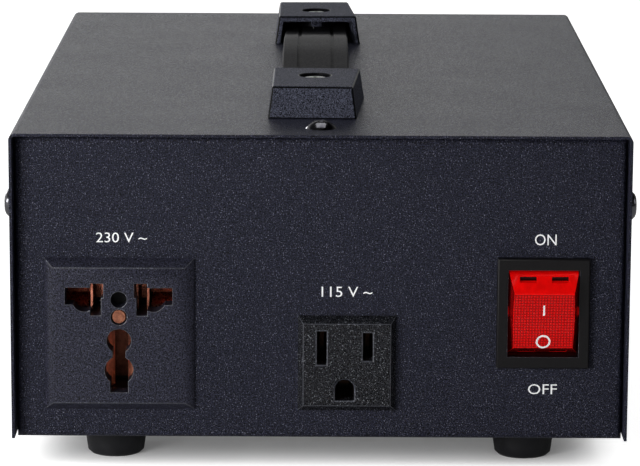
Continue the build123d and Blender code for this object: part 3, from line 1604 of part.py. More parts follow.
with BuildPart() as wire_sleeves:
    for tips, way, across, upright, length in tab_groups:
        start = Align.MIN if way < 0 else Align.MAX
        for x, y, z in tips:
            with Locations((x, y + way * sleeve_end, z)):
                Box(
                    across + 2 * (tab_gap + sleeve_wall),
                    length * sleeve_share + sleeve_end,
                    upright + 2 * (tab_gap + sleeve_wall),
                    align=(Align.CENTER, start, Align.CENTER),
                )
            with Locations((x, y, z)):
                Box(
                    across + 2 * tab_gap,
                    length,
                    upright + 2 * tab_gap,
                    align=(Align.CENTER, start, Align.CENTER),
                    mode=Mode.SUBTRACT,
                )
save(wire_sleeves, "wire_sleeves")


def before(tip, way):
    """The two last points of a wire's route to a tab that points the given way."""
    x, y, z = tip
    return (x, y + way * (sleeve_end + tab_approach), z), (x, y + way * sleeve_end, z)


def wire(points):
    """A wire along straight runs joined by arcs."""
    radii = []
    for first, corner, last in zip(points, points[1:], points[2:]):
        run_in = Vector(*corner) - Vector(*first)
        run_out = Vector(*last) - Vector(*corner)
        turn = radians(run_in.get_angle(run_out))
        shorter = min(run_in.length, run_out.length)
        radii.append(min(wire_bend, bend_share * shorter / tan(turn / 2)))
    with BuildPart() as strand:
        with BuildLine() as route:
            FilletPolyline(*points, radius=radii)
        with BuildSketch(Plane(origin=route.line @ 0, z_dir=route.line % 0)):
            Circle(wire_radius)
        sweep(path=route.wires()[0])
    return strand.part


def save_wires(routes, name):
    strands = [wire(points) for points in routes]
    with BuildPart() as bundle:
        add(strands)
    save(bundle, name)


lane_ahead = panel_front + lane_front
lane_behind = panel_rear - lane_rear
low_z = base_z + lane_low
mid_z = base_z + lane_mid
high_z = base_z + lane_high
line_turn, line_end = before(inlet_tabs[0], -1)
feed_turn, feed_end = before(breaker_tab_tips[0], -1)
out_turn, out_end = before(breaker_tab_tips[1], -1)
switch_turn, switch_end = before(switch_tabs[1], 1)
save_wires(
    [
        [line_end, line_turn, feed_turn, feed_end],
        [
            out_end,
            out_turn,
            (inlet_x, out_turn[1], high_z),
            (lane_x, lane_behind - lane_shift, high_z),
            (lane_x, lane_ahead, high_z),
            switch_turn,
            switch_end,
        ],
    ],
    "line_wires",
)

neutral_turn, neutral_end = before(inlet_tabs[1], -1)
common_turn, common_end = before(switch_tabs[0], 1)
save_wires(
    [
        [
            neutral_end,
            neutral_turn,
            (lane_x, lane_behind, mid_z),
            (lane_x, lane_ahead, mid_z),
            common_turn,
            common_end,
        ],
    ],
    "neutral_wires",
)

lug_start = lug_radius + lug_tail_length / 2
lug_tops = [
    base_top + layer * (lug_gauge + lug_gap) + lug_gauge + wire_stand + wire_radius
    for layer in range(len(lug_turns))
]
ground_turn, ground_end = before(inlet_tabs[2], -1)
us_ground_turn, us_ground_end = before(us_tabs[2], 1)
universal_ground_turn, universal_ground_end = before(universal_tabs[2], 1)
save_wires(
    [
        [
            ground_end,
            ground_turn,
            (lane_x - lane_shift, lane_behind + tab_approach / 2, low_z),
            (lane_x, lane_behind - lane_shift, low_z),
            (lane_x, lane_ahead, low_z),
            (lane_x - lane_shift, stud_y, lug_tops[0]),
            (stud_x + lug_start, stud_y, lug_tops[0]),
        ],
        [
            (stud_x, stud_y + lug_start, lug_tops[1]),
            (stud_x, us_ground_turn[1], lug_tops[1]),
            us_ground_turn,
            us_ground_end,
        ],
        [
            (stud_x - lug_start, stud_y, lug_tops[2]),
            (us_x - us_width / 2, stud_y, lug_tops[2]),
            universal_ground_turn,
            universal_ground_end,
        ],
    ],
    "earth_wires",
)

lead_tabs = [(tip, 1) for tip in universal_tabs[:2] + us_tabs[:2] + switch_tabs[2:]]
lead_tabs += [(tip, -1) for tip in selector_tab_tips]
lead_routes = []
for tip, way in lead_tabs:
    lead_turn, lead_end = before(tip, way)
    out = Vector(lead_turn[0], lead_turn[1] - toroid_y, 0).normalized() * (wound_outer + wire_stand)
    lead_routes.append([(out.X, toroid_y + out.Y, tip[2]), lead_turn, lead_end])
save_wires(lead_routes, "winding_leads")
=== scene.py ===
import json
from math import cos, pi, radians, sin, tan

import bmesh
import bpy
from mathutils import Matrix, Vector


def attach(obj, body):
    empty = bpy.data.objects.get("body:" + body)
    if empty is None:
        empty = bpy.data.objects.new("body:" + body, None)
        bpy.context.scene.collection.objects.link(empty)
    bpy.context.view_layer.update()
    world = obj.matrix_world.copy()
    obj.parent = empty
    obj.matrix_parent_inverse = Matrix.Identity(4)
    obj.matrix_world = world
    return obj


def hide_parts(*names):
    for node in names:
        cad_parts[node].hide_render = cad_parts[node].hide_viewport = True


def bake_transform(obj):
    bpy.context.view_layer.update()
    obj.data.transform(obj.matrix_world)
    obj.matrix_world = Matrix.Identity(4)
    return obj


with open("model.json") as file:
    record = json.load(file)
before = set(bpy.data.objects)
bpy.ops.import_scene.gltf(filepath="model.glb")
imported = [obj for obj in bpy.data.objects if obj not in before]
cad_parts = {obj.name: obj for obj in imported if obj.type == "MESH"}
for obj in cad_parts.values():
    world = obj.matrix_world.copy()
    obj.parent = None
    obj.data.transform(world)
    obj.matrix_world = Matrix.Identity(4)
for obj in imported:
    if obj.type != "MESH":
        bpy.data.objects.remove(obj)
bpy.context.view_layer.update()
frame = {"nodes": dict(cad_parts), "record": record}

# Desktop voltage converter: black steel case, two sockets, a red rocker and a strap handle.
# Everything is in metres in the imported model's frame: +X right, +Y to the rear, +Z up.

mm = 0.001
nodes = frame["nodes"]
bodies = frame["record"]["behaviour"]["bodies"]
bodyOf = {node: body for body, names in bodies.items() for node in names}
slotOf = {part["node"]: part["material_slot"] for part in frame["record"]["subparts"]}
print("frame loaded,", len(nodes), "nodes")

photoCamera = {
    "place": (-0.00027, -1.03996, 0.25004),
    "pitch": 11.28,      # degrees below the horizon
    "yaw": 0.01,
    "roll": 0.3,
    "lens": 191.52,
    "sensor": 36.0,
    "clip": (0.01, 50),
}


def addToScene(thing):
    bpy.context.scene.collection.objects.link(thing)


def makeCamera(c):
    pitch, yaw, roll = radians(c["pitch"]), radians(c["yaw"]), radians(c["roll"])
    ahead = Vector((sin(yaw) * cos(pitch), cos(yaw) * cos(pitch), -sin(pitch)))
    level = Vector((cos(yaw), -sin(yaw), 0))
    upright = level.cross(ahead)
    across = level * cos(roll) + upright * sin(roll)
    up = upright * cos(roll) - level * sin(roll)
    data = bpy.data.cameras.new("photoCamera")
    data.lens = c["lens"]
    data.sensor_width = c["sensor"]
    data.clip_start, data.clip_end = c["clip"]
    camera = bpy.data.objects.new("photoCamera", data)
    addToScene(camera)
    turn = Matrix((across, up, -ahead)).transposed().to_4x4()
    camera.matrix_world = Matrix.Translation(c["place"]) @ turn
    bpy.context.scene.camera = camera


makeCamera(photoCamera)
bpy.context.scene.view_settings.view_transform = "Standard"
print("camera set")

# Finishes. Each starts from one shader; patterns read Object coordinates, in metres.

usualSpread = (0.3, 0.7)      # where most of a noise's values lie
crispSpread = (0.38, 0.62)
fleckSpread = 0.1             # from no fleck to a full one


def addNode(tree, kind, values=None, **options):
    made = tree.nodes.new(kind)
    for key, value in options.items():
        setattr(made, key, value)
    for key, value in (values or {}).items():
        made.inputs[key].default_value = value
    return made


def wire(tree, source, output, target, entry):
    tree.links.new(source.outputs[output], target.inputs[entry])


def startFinish(name, look):
    material = bpy.data.materials.new(name)
    material.use_nodes = True
    tree = material.node_tree
    tree.nodes.clear()
    shader = addNode(tree, "ShaderNodeBsdfPrincipled", look)
    out = addNode(tree, "ShaderNodeOutputMaterial")
    wire(tree, shader, "BSDF", out, "Surface")
    place = addNode(tree, "ShaderNodeTexCoord")
    return material, tree, shader, place


def opaque(color, factor=1.0):
    return tuple(min(1.0, channel * factor) for channel in color) + (1.0,)


def grain(tree, place, pitch, detail=2.0, stretch=(1, 1, 1), crispness=0.55):
    # Fine noise whose lumps are about pitch metres across.
    mapped = addNode(tree, "ShaderNodeMapping", {"Scale": stretch})
    noise = addNode(
        tree, "ShaderNodeTexNoise", {"Scale": 1 / pitch, "Detail": detail, "Roughness": crispness}
    )
    wire(tree, place, "Object", mapped, "Vector")
    wire(tree, mapped, "Vector", noise, "Vector")
    return noise


def between(tree, source, output, low, high, toLow=0.0, toHigh=1.0):
    ranged = addNode(
        tree,
        "ShaderNodeMapRange",
        {"From Min": low, "From Max": high, "To Min": toLow, "To Max": toHigh},
        clamp=True,
    )
    wire(tree, source, output, ranged, "Value")
    return ranged


def glossAround(tree, noise, middle, change):
    return between(tree, noise, "Fac", *usualSpread, middle - change, middle + change)


def product(tree, first, second):
    # Each of the two is a node and the name of its output.
    made = addNode(tree, "ShaderNodeMath", operation="MULTIPLY")
    wire(tree, *first, made, 0)
    wire(tree, *second, made, 1)
    return made


def blendColors(tree, factor, output, first, second):
    mixed = addNode(tree, "ShaderNodeMix", data_type="RGBA")
    mixed.inputs["A"].default_value = first
    mixed.inputs["B"].default_value = second
    wire(tree, factor, output, mixed, "Factor")
    return mixed


def addFlecks(tree, shader, noise, start, under, color):
    # Lays flecks of one colour over the colours under them.
    flecks = between(tree, noise, "Fac", start, start + fleckSpread)
    over = addNode(tree, "ShaderNodeMix", data_type="RGBA")
    wire(tree, flecks, "Result", over, "Factor")
    wire(tree, under, "Result", over, "A")
    over.inputs["B"].default_value = opaque(color)
    wire(tree, over, "Result", shader, "Base Color")


def raiseGrain(tree, shader, noise, output, depth, strength=1.0, under=None):
    bump = addNode(tree, "ShaderNodeBump", {"Strength": strength, "Distance": depth})
    wire(tree, noise, output, bump, "Height")
    if under:
        wire(tree, under, "Normal", bump, "Normal")
    wire(tree, bump, "Normal", shader, "Normal")
    return bump


def powderCoat(name, c):
    # Baked powder paint: tiny lumps, a few painted lighter as glints, and slow changes of gloss.
    material, tree, shader, place = startFinish(
        name,
        {
            "Base Color": opaque(c["color"]),
            "Specular IOR Level": c["specular"],
            "Roughness": c["roughness"],
        },
    )
    lumps = grain(tree, place, c["lumpPitch"], 3.0)
    fine = grain(tree, place, c["fleckPitch"], 1.0)
    shades = blendColors(
        tree, between(tree, lumps, "Fac", *crispSpread), "Result",
        opaque(c["color"], c["darkLump"]), opaque(c["color"], c["lightLump"]),
    )
    addFlecks(tree, shader, fine, c["fleckStart"], shades, c["glintFleckColor"])
    slow = grain(tree, place, c["slowPitch"], 2.0)
    gloss = glossAround(tree, slow, c["roughness"], c["slowGloss"])
    uneven = between(tree, lumps, "Fac", *c["lumpSpread"], -c["lumpGloss"], c["lumpGloss"])
    total = addNode(tree, "ShaderNodeMath", operation="ADD")
    wire(tree, gloss, "Result", total, 0)
    wire(tree, uneven, "Result", total, 1)
    wire(tree, total, "Value", shader, "Roughness")
    peel = addNode(tree, "ShaderNodeBump", {"Strength": 1.0, "Distance": c["peelDepth"]})
    wire(tree, grain(tree, place, c["peelPitch"], 1.0), "Fac", peel, "Height")
    low = addNode(tree, "ShaderNodeBump", {"Strength": 1.0, "Distance": c["lumpDepth"]})
    wire(tree, lumps, "Fac", low, "Height")
    wire(tree, peel, "Normal", low, "Normal")
    raiseGrain(tree, shader, fine, "Fac", c["lumpDepth"] * c["fleckRise"], 1.0, low)
    return material


plainPebbles = {
    "darkPebble": 0.7, "lightPebble": 1.3, "fleckStart": 0.72,
    "pebblePitch": 0.5 * mm, "pebbleDepth": 0.01 * mm,
}


def mouldedPlastic(name, look):
    # Plastic from a spark-eroded mould: an even pebbled skin, some pebbles painted lighter as
    # glints.
    c = {**plainPebbles, **look}
    slowPitch, slowGloss = 9 * mm, 0.02
    material, tree, shader, place = startFinish(
        name,
        {
            "Base Color": opaque(c["color"]),
            "Specular IOR Level": c["specular"],
            "Roughness": c["roughness"],
        },
    )
    pebbles = grain(tree, place, c["pebblePitch"], 2.0)
    tone = blendColors(
        tree, between(tree, pebbles, "Fac", *crispSpread), "Result",
        opaque(c["color"], c["darkPebble"]), opaque(c["color"], c["lightPebble"]),
    )
    fine = grain(tree, place, c["pebblePitch"] * 0.8, 1.0)
    addFlecks(tree, shader, fine, c["fleckStart"], tone, c["glintPebbleColor"])
    slow = grain(tree, place, slowPitch, 2.0)
    wire(tree, glossAround(tree, slow, c["roughness"], slowGloss), "Result", shader, "Roughness")
    raiseGrain(tree, shader, pebbles, "Fac", c["pebbleDepth"])
    return material


def drawnMetal(name, c):
    # Sheet or drawn metal: fine lines along one way, and faint stains.
    stainSpread, shinier, duller = (0.35, 0.7), 0.07, 0.1
    material, tree, shader, place = startFinish(
        name,
        {
            "Base Color": opaque(c["color"]),
            "Metallic": c.get("metallic", 1.0),
            "Roughness": c["roughness"],
        },
    )
    lines = grain(tree, place, c["linePitch"], 2.0, c.get("along", (1, 1, 1)))
    stains = grain(tree, place, c["stainPitch"], 3.0)
    shades = blendColors(
        tree, between(tree, stains, "Fac", *stainSpread), "Result",
        opaque(c["color"]), opaque(c["stainColor"]),
    )
    wire(tree, shades, "Result", shader, "Base Color")
    gloss = between(
        tree, lines, "Fac", *usualSpread, c["roughness"] - shinier, c["roughness"] + duller
    )
    wire(tree, gloss, "Result", shader, "Roughness")
    raiseGrain(tree, shader, lines, "Fac", c["lineDepth"])
    return material


def softSkin(name, c):
    # Vinyl, rubber, glass or insulation: patches of dust and a fine bump.
    dustPitch, dustSpread, glossChange = 5 * mm, (0.4, 0.75), 0.06
    material, tree, shader, place = startFinish(
        name,
        {
            "Base Color": opaque(c["color"]),
            "Specular IOR Level": c["specular"],
            "Roughness": c["roughness"],
        },
    )
    skin = grain(tree, place, c["skinPitch"], 2.0, c.get("along", (1, 1, 1)))
    dust = between(tree, grain(tree, place, dustPitch, 4.0), "Fac", *dustSpread)
    shades = blendColors(tree, dust, "Result", opaque(c["color"]), opaque(c["dustColor"]))
    wire(tree, shades, "Result", shader, "Base Color")
    wire(tree, glossAround(tree, skin, c["roughness"], glossChange), "Result", shader, "Roughness")
    raiseGrain(tree, shader, skin, "Fac", c["skinDepth"])
    return material


def rockerRed(name, c):
    # Clear red plastic that lets some light through, with a painted glow on top of it. Its lower
    # face is moulded in small pyramids.
    material, tree, shader, place = startFinish(
        name,
        {
            "Base Color": opaque(c["color"]),
            "Roughness": c["roughness"],
            "Specular IOR Level": c["specular"],
            "Subsurface Weight": c["depthGlow"],
            "Subsurface Radius": c["redReach"],
            "Subsurface Scale": 0.5,
            "Emission Color": opaque(c["color"]),
            "Emission Strength": c["paintedGlow"],
        },
    )
    streaks = grain(tree, place, c["streakPitch"], 2.0, (1, 1, 0.4))
    tone = between(tree, streaks, "Fac", *usualSpread)
    if not c["gridPitch"]:
        dark, light = (opaque(c["color"], factor) for factor in c["streakTones"])
        shades = blendColors(tree, tone, "Result", dark, light)
        wire(tree, shades, "Result", shader, "Base Color")
        raiseGrain(tree, shader, grain(tree, place, c["finePitch"], 1.0), "Fac", c["fineDepth"])
        return material
    parts = addNode(tree, "ShaderNodeSeparateXYZ")
    wire(tree, place, "Object", parts, "Vector")
    slopes = []
    for axis in ("X", "Z"):
        slope = addNode(tree, "ShaderNodeMath", operation="PINGPONG")
        slope.inputs[1].default_value = c["gridPitch"] / 2
        wire(tree, parts, axis, slope, 0)
        slopes.append(slope)
    pyramid = addNode(tree, "ShaderNodeMath", operation="MINIMUM")
    wire(tree, slopes[0], "Value", pyramid, 0)
    wire(tree, slopes[1], "Value", pyramid, 1)
    raised = between(tree, pyramid, "Value", 0.0, c["gridPitch"] * c["slopeShare"])
    # The grooves between the pyramids get a darker red: painted shade.
    shades = blendColors(tree, raised, "Result", opaque(c["grooveShadeColor"]), opaque(c["color"]))
    wire(tree, shades, "Result", shader, "Base Color")
    smoother, rougher = c["roughness"] - c["glossChange"], c["roughness"] + c["glossChange"]
    gloss = between(tree, tone, "Result", 0, 1, smoother, rougher)
    wire(tree, gloss, "Result", shader, "Roughness")
    raiseGrain(tree, shader, raised, "Result", c["gridPitch"] * c["riseShare"])
    return material


def printInk(name, c):
    # Screen-printed ink: almost flat, a little uneven from the paint below.
    paintPitch, paintDepth, inkSpread, thinInk = 0.5 * mm, 0.01 * mm, (0.3, 0.5), 0.92
    material, tree, shader, place = startFinish(
        name,
        {"Base Color": opaque(c["color"]), "Roughness": 0.5, "Specular IOR Level": 0.3},
    )
    below = grain(tree, place, paintPitch, 2.0)
    shades = blendColors(
        tree, between(tree, below, "Fac", *inkSpread), "Result",
        opaque(c["color"], thinInk), opaque(c["color"]),
    )
    wire(tree, shades, "Result", shader, "Base Color")
    raiseGrain(tree, shader, below, "Fac", paintDepth)
    return material


def roundRing(tree, place, middleY, factor, shape):
    # A pattern that repeats round the transformer's ring; factor multiplies the angle.
    centred = addNode(tree, "ShaderNodeMapping", {"Location": (0, -middleY, 0)})
    parts = addNode(tree, "ShaderNodeSeparateXYZ")
    angle = addNode(tree, "ShaderNodeMath", operation="ARCTAN2")
    turns = addNode(tree, "ShaderNodeMath", operation="MULTIPLY")
    turns.inputs[1].default_value = factor
    pattern = addNode(tree, "ShaderNodeMath", operation=shape)
    wire(tree, place, "Object", centred, "Vector")
    wire(tree, centred, "Vector", parts, "Vector")
    wire(tree, parts, "X", angle, 0)
    wire(tree, parts, "Y", angle, 1)
    wire(tree, angle, "Value", turns, 0)
    wire(tree, turns, "Value", pattern, 0)
    return pattern


def woundCopper(name, c):
    # Enamelled wire, laid side by side round the core: ridges that run towards the middle.
    material, tree, shader, place = startFinish(
        name,
        {"Base Color": opaque(c["color"]), "Metallic": 0.8, "Roughness": 0.3, "Coat Weight": 0.4},
    )
    ridge = roundRing(tree, place, c["middleY"], c["turns"], "SINE")
    shades = blendColors(
        tree, between(tree, ridge, "Value", -1, 1), "Result",
        opaque(c["color"], c["between"]), opaque(c["color"]),
    )
    wire(tree, shades, "Result", shader, "Base Color")
    raiseGrain(tree, shader, ridge, "Value", c["rise"])
    return material


def wrappedTape(name, c):
    # Overlapped tape round the ring: each turn's edge shows as a step.
    material, tree, shader, place = startFinish(
        name,
        {"Base Color": opaque(c["color"]), "Roughness": 0.35, "Specular IOR Level": 0.5},
    )
    step = roundRing(tree, place, c["middleY"], c["turns"] / (2 * pi), "FRACT")
    shades = blendColors(
        tree, between(tree, step, "Value", 0, 1), "Result",
        opaque(c["color"], c["between"]), opaque(c["color"]),
    )
    wire(tree, shades, "Result", shader, "Base Color")
    raiseGrain(tree, shader, step, "Value", c["rise"])
    return material


def stripedInsulation(name, c):
    # Earth wire's insulation: green with a yellow stripe that winds along it.
    material, tree, shader, place = startFinish(
        name,
        {"Base Color": opaque(c["color"]), "Roughness": 0.4},
    )
    bands = addNode(
        tree, "ShaderNodeTexWave", {"Scale": c["bands"], "Distortion": 0.5},
        bands_direction="DIAGONAL",
    )
    wire(tree, place, "Object", bands, "Vector")
    shades = blendColors(
        tree, between(tree, bands, "Fac", *c["stripeEdge"]), "Result",
        opaque(c["color"]), opaque(c["stripe"]),
    )
    wire(tree, shades, "Result", shader, "Base Color")
    return material


casePaintLook = {
    "color": (0.0082, 0.0087, 0.0158),
    "specular": 0.12,
    "roughness": 0.42,
    "peelPitch": 1.0 * mm,
    "peelDepth": 0.12 * mm,
    "lumpPitch": 0.38 * mm,
    "lumpDepth": 0.26 * mm,
    "lumpGloss": 0.12,
    "lumpSpread": (0.35, 0.65),
    "slowPitch": 24 * mm,
    "slowGloss": 0.012,
    "darkLump": 0.02,
    "lightLump": 3.1,
    "fleckPitch": 0.32 * mm,
    "fleckStart": 0.63,
    "glintFleckColor": (0.20, 0.205, 0.27),
    "fleckRise": 0.6,        # of a lump's depth
}
universalPlasticLook = {
    "color": (0.0140, 0.0142, 0.0235),
    "glintPebbleColor": (0.15, 0.155, 0.20),
    "darkPebble": 0.1,
    "lightPebble": 2.5,
    "fleckStart": 0.66,
    "specular": 0.15,
    "roughness": 0.46,
    "pebblePitch": 0.38 * mm,
    "pebbleDepth": 0.06 * mm,
}
usPlasticLook = {
    "color": (0.0036, 0.0038, 0.0050),
    "glintPebbleColor": (0.18, 0.19, 0.21),
    "specular": 0.15,
    "roughness": 0.24,
    "darkPebble": 0.0,
    "lightPebble": 4.6,
    "pebblePitch": 0.45 * mm,
    "pebbleDepth": 0.5 * mm,
    "fleckStart": 0.63,
}
bezelLook = {
    "color": (0.0040, 0.0036, 0.0042),
    "glintPebbleColor": (0.05, 0.05, 0.055),
    "specular": 0.2,
    "roughness": 0.36,
    "pebblePitch": 0.35 * mm,
    "pebbleDepth": 0.008 * mm,
}
capLook = {
    "color": (0.0370, 0.0395, 0.0560),
    "glintPebbleColor": (0.20, 0.21, 0.28),
    "specular": 0.06,
    "roughness": 0.62,
    "darkPebble": 0.15,
    "lightPebble": 2.2,
    "pebblePitch": 0.32 * mm,
    "pebbleDepth": 0.16 * mm,
    "fleckStart": 0.63,
}
capEdgeShadeLook = {
    "color": (0.003, 0.003, 0.004),
    "glintPebbleColor": (0.05, 0.052, 0.06),
    "specular": 0.05,
    "roughness": 0.3,
    "pebbleDepth": 0.02 * mm,
    "fleckStart": 0.68,
}
# A lighter, glossier plastic for the rounded and chamfered edges of the sockets and bezel: a
# painted highlight along the edges.
edgeHighlightLook = {
    "color": (0.030, 0.032, 0.042),
    "glintPebbleColor": (0.20, 0.21, 0.25),
    "specular": 0.5,
    "roughness": 0.34,
    "pebbleDepth": 0.03 * mm,
    "fleckStart": 0.6,
}
innerPlasticLook = {
    "color": (0.005, 0.005, 0.0055),
    "glintPebbleColor": (0.012, 0.012, 0.013),
    "specular": 0.15,
    "roughness": 0.45,
}
greyPlasticLook = {
    "color": (0.16, 0.16, 0.165),
    "glintPebbleColor": (0.2, 0.2, 0.2),
    "specular": 0.4,
    "roughness": 0.45,
}
buttonPlasticLook = {
    "color": (0.75, 0.74, 0.70),
    "glintPebbleColor": (0.8, 0.8, 0.78),
    "specular": 0.5,
    "roughness": 0.3,
    "pebbleDepth": 0.006 * mm,
}
sleeveLook = {
    "color": (0.62, 0.60, 0.54),
    "glintPebbleColor": (0.7, 0.68, 0.62),
    "specular": 0.5,
    "roughness": 0.35,
    "pebblePitch": 0.6 * mm,
    "pebbleDepth": 0.006 * mm,
}
strapVinylLook = {
    "color": (0.0090, 0.0090, 0.0105),
    "dustColor": (0.014, 0.014, 0.016),
    "specular": 0.07,
    "roughness": 0.6,
    "skinPitch": 0.5 * mm,
    "skinDepth": 0.012 * mm,
    "along": (1, 0.6, 1),
}
strapGrooveShadeLook = {**strapVinylLook, "color": (0.003, 0.003, 0.004), "specular": 0.08}
footRubberLook = {
    "color": (0.0052, 0.0054, 0.0072),
    "dustColor": (0.013, 0.013, 0.015),
    "specular": 0.3,
    "roughness": 0.5,
    "skinPitch": 0.6 * mm,
    "skinDepth": 0.012 * mm,
}
padRubberLook = {
    "color": (0.012, 0.012, 0.012),
    "dustColor": (0.03, 0.03, 0.028),
    "specular": 0.3,
    "roughness": 0.65,
    "skinPitch": 0.8 * mm,
    "skinDepth": 0.02 * mm,
}
blackSteelLook = {
    "color": (0.13, 0.13, 0.14),
    "stainColor": (0.06, 0.06, 0.07),
    "roughness": 0.13,
    "linePitch": 0.5 * mm,
    "stainPitch": 2.5 * mm,
    "lineDepth": 0.001 * mm,
}
zincLook = {
    "color": (0.55, 0.55, 0.53),
    "stainColor": (0.42, 0.42, 0.42),
    "roughness": 0.32,
    "linePitch": 0.3 * mm,
    "along": (1, 1, 0.2),
    "stainPitch": 3 * mm,
    "lineDepth": 0.003 * mm,
}
copperLook = {
    "color": (0.66, 0.26, 0.17),
    "stainColor": (0.26, 0.08, 0.05),
    "roughness": 0.28,
    "linePitch": 0.35 * mm,
    "along": (1, 0.15, 1),
    "stainPitch": 1.8 * mm,
    "lineDepth": 0.004 * mm,
}
rivetLook = {
    "color": (0.36, 0.15, 0.09),
    "stainColor": (0.16, 0.06, 0.04),
    "roughness": 0.42,
    "linePitch": 0.4 * mm,
    "stainPitch": 1.2 * mm,
    "lineDepth": 0.02 * mm,
}
cheekLightCopperLook = {
    "color": (1.0, 0.42, 0.26),
    "stainColor": (0.60, 0.22, 0.13),
    "metallic": 0.2,
    "roughness": 0.34,
    "linePitch": 0.4 * mm,
    "along": (1, 1, 0.3),
    "stainPitch": 1.6 * mm,
    "lineDepth": 0.01 * mm,
}
shadedCopperLook = {
    "color": (0.13, 0.045, 0.028),
    "stainColor": (0.06, 0.02, 0.014),
    "roughness": 0.36,
    "linePitch": 0.4 * mm,
    "along": (1, 1, 0.3),
    "stainPitch": 1.6 * mm,
    "lineDepth": 0.01 * mm,
}
contactShadeLook = {
    "color": (0.10, 0.055, 0.035),
    "stainColor": (0.05, 0.028, 0.02),
    "roughness": 0.4,
    "linePitch": 0.35 * mm,
    "along": (1, 0.15, 1),
    "stainPitch": 1.8 * mm,
    "lineDepth": 0.004 * mm,
}
silverLook = {
    "color": (0.86, 0.85, 0.82),
    "stainColor": (0.6, 0.58, 0.52),
    "roughness": 0.25,
    "linePitch": 0.3 * mm,
    "stainPitch": 1.2 * mm,
    "lineDepth": 0.002 * mm,
}
coreSteelLook = {
    "color": (0.30, 0.30, 0.31),
    "stainColor": (0.2, 0.2, 0.21),
    "roughness": 0.4,
    "linePitch": 0.4 * mm,
    "along": (1, 1, 0.02),
    "stainPitch": 8 * mm,
    "lineDepth": 0.02 * mm,
}
lampLook = {
    "color": (0.8, 0.42, 0.3),
    "dustColor": (0.85, 0.5, 0.4),
    "specular": 0.6,
    "roughness": 0.12,
    "skinPitch": 1.0 * mm,
    "skinDepth": 0.002 * mm,
}
rockerRedLook = {
    "color": (0.72, 0.0015, 0.0012),
    "roughness": 0.22,
    "specular": 0.16,
    "depthGlow": 0.15,
    "paintedGlow": 0.20,
    "redReach": (0.003, 0.0002, 0.0002),
    "streakPitch": 2.5 * mm,
    "streakTones": (0.8, 1.08),
    "finePitch": 0.5 * mm,
    "fineDepth": 0.003 * mm,
    "gridPitch": 0,          # no grid
}
rockerGridLook = {
    **rockerRedLook,
    "color": (0.72, 0.004, 0.004),
    "grooveShadeColor": (0.13, 0.001, 0.001),
    "roughness": 0.3,
    "paintedGlow": 0.18,
    "gridPitch": 0.8 * mm,
    "slopeShare": 0.3,       # of the pitch, as the next one
    "riseShare": 0.22,
    "glossChange": 0.04,
}
rockerShadeLook = {**rockerRedLook, "color": (0.20, 0.0018, 0.0022), "depthGlow": 0.1, "paintedGlow": 0.045}
rockerWindowLook = {
    **rockerRedLook, "color": (0.012, 0.0008, 0.0008), "depthGlow": 0.0, "paintedGlow": 0.0,
}
wireColors = {
    "wire_brown": (0.10, 0.032, 0.012),
    "wire_blue": (0.015, 0.07, 0.34),
    "wire_black": (0.012, 0.012, 0.013),
}
toroidMiddle = -0.969 * mm
windingLook = {
    "color": (0.62, 0.2, 0.07),
    "between": 0.35,         # tone between two wires
    "turns": 260,
    "rise": 0.3 * mm,
    "middleY": toroidMiddle,
}
tapeLook = {
    "color": (0.72, 0.62, 0.28),
    "between": 0.7,
    "turns": 34,
    "rise": 0.3 * mm,
    "middleY": toroidMiddle,
}
earthInsulationLook = {
    "color": (0.02, 0.22, 0.03),
    "stripe": (0.75, 0.6, 0.02),
    "bands": 120.0,
    "stripeEdge": (0.45, 0.55),
}


def insulationLook(color):
    return {
        "color": color,
        "dustColor": opaque(color, 1.3)[:3],
        "specular": 0.5,
        "roughness": 0.35,
        "skinPitch": 1.0 * mm,
        "skinDepth": 0.004 * mm,
    }


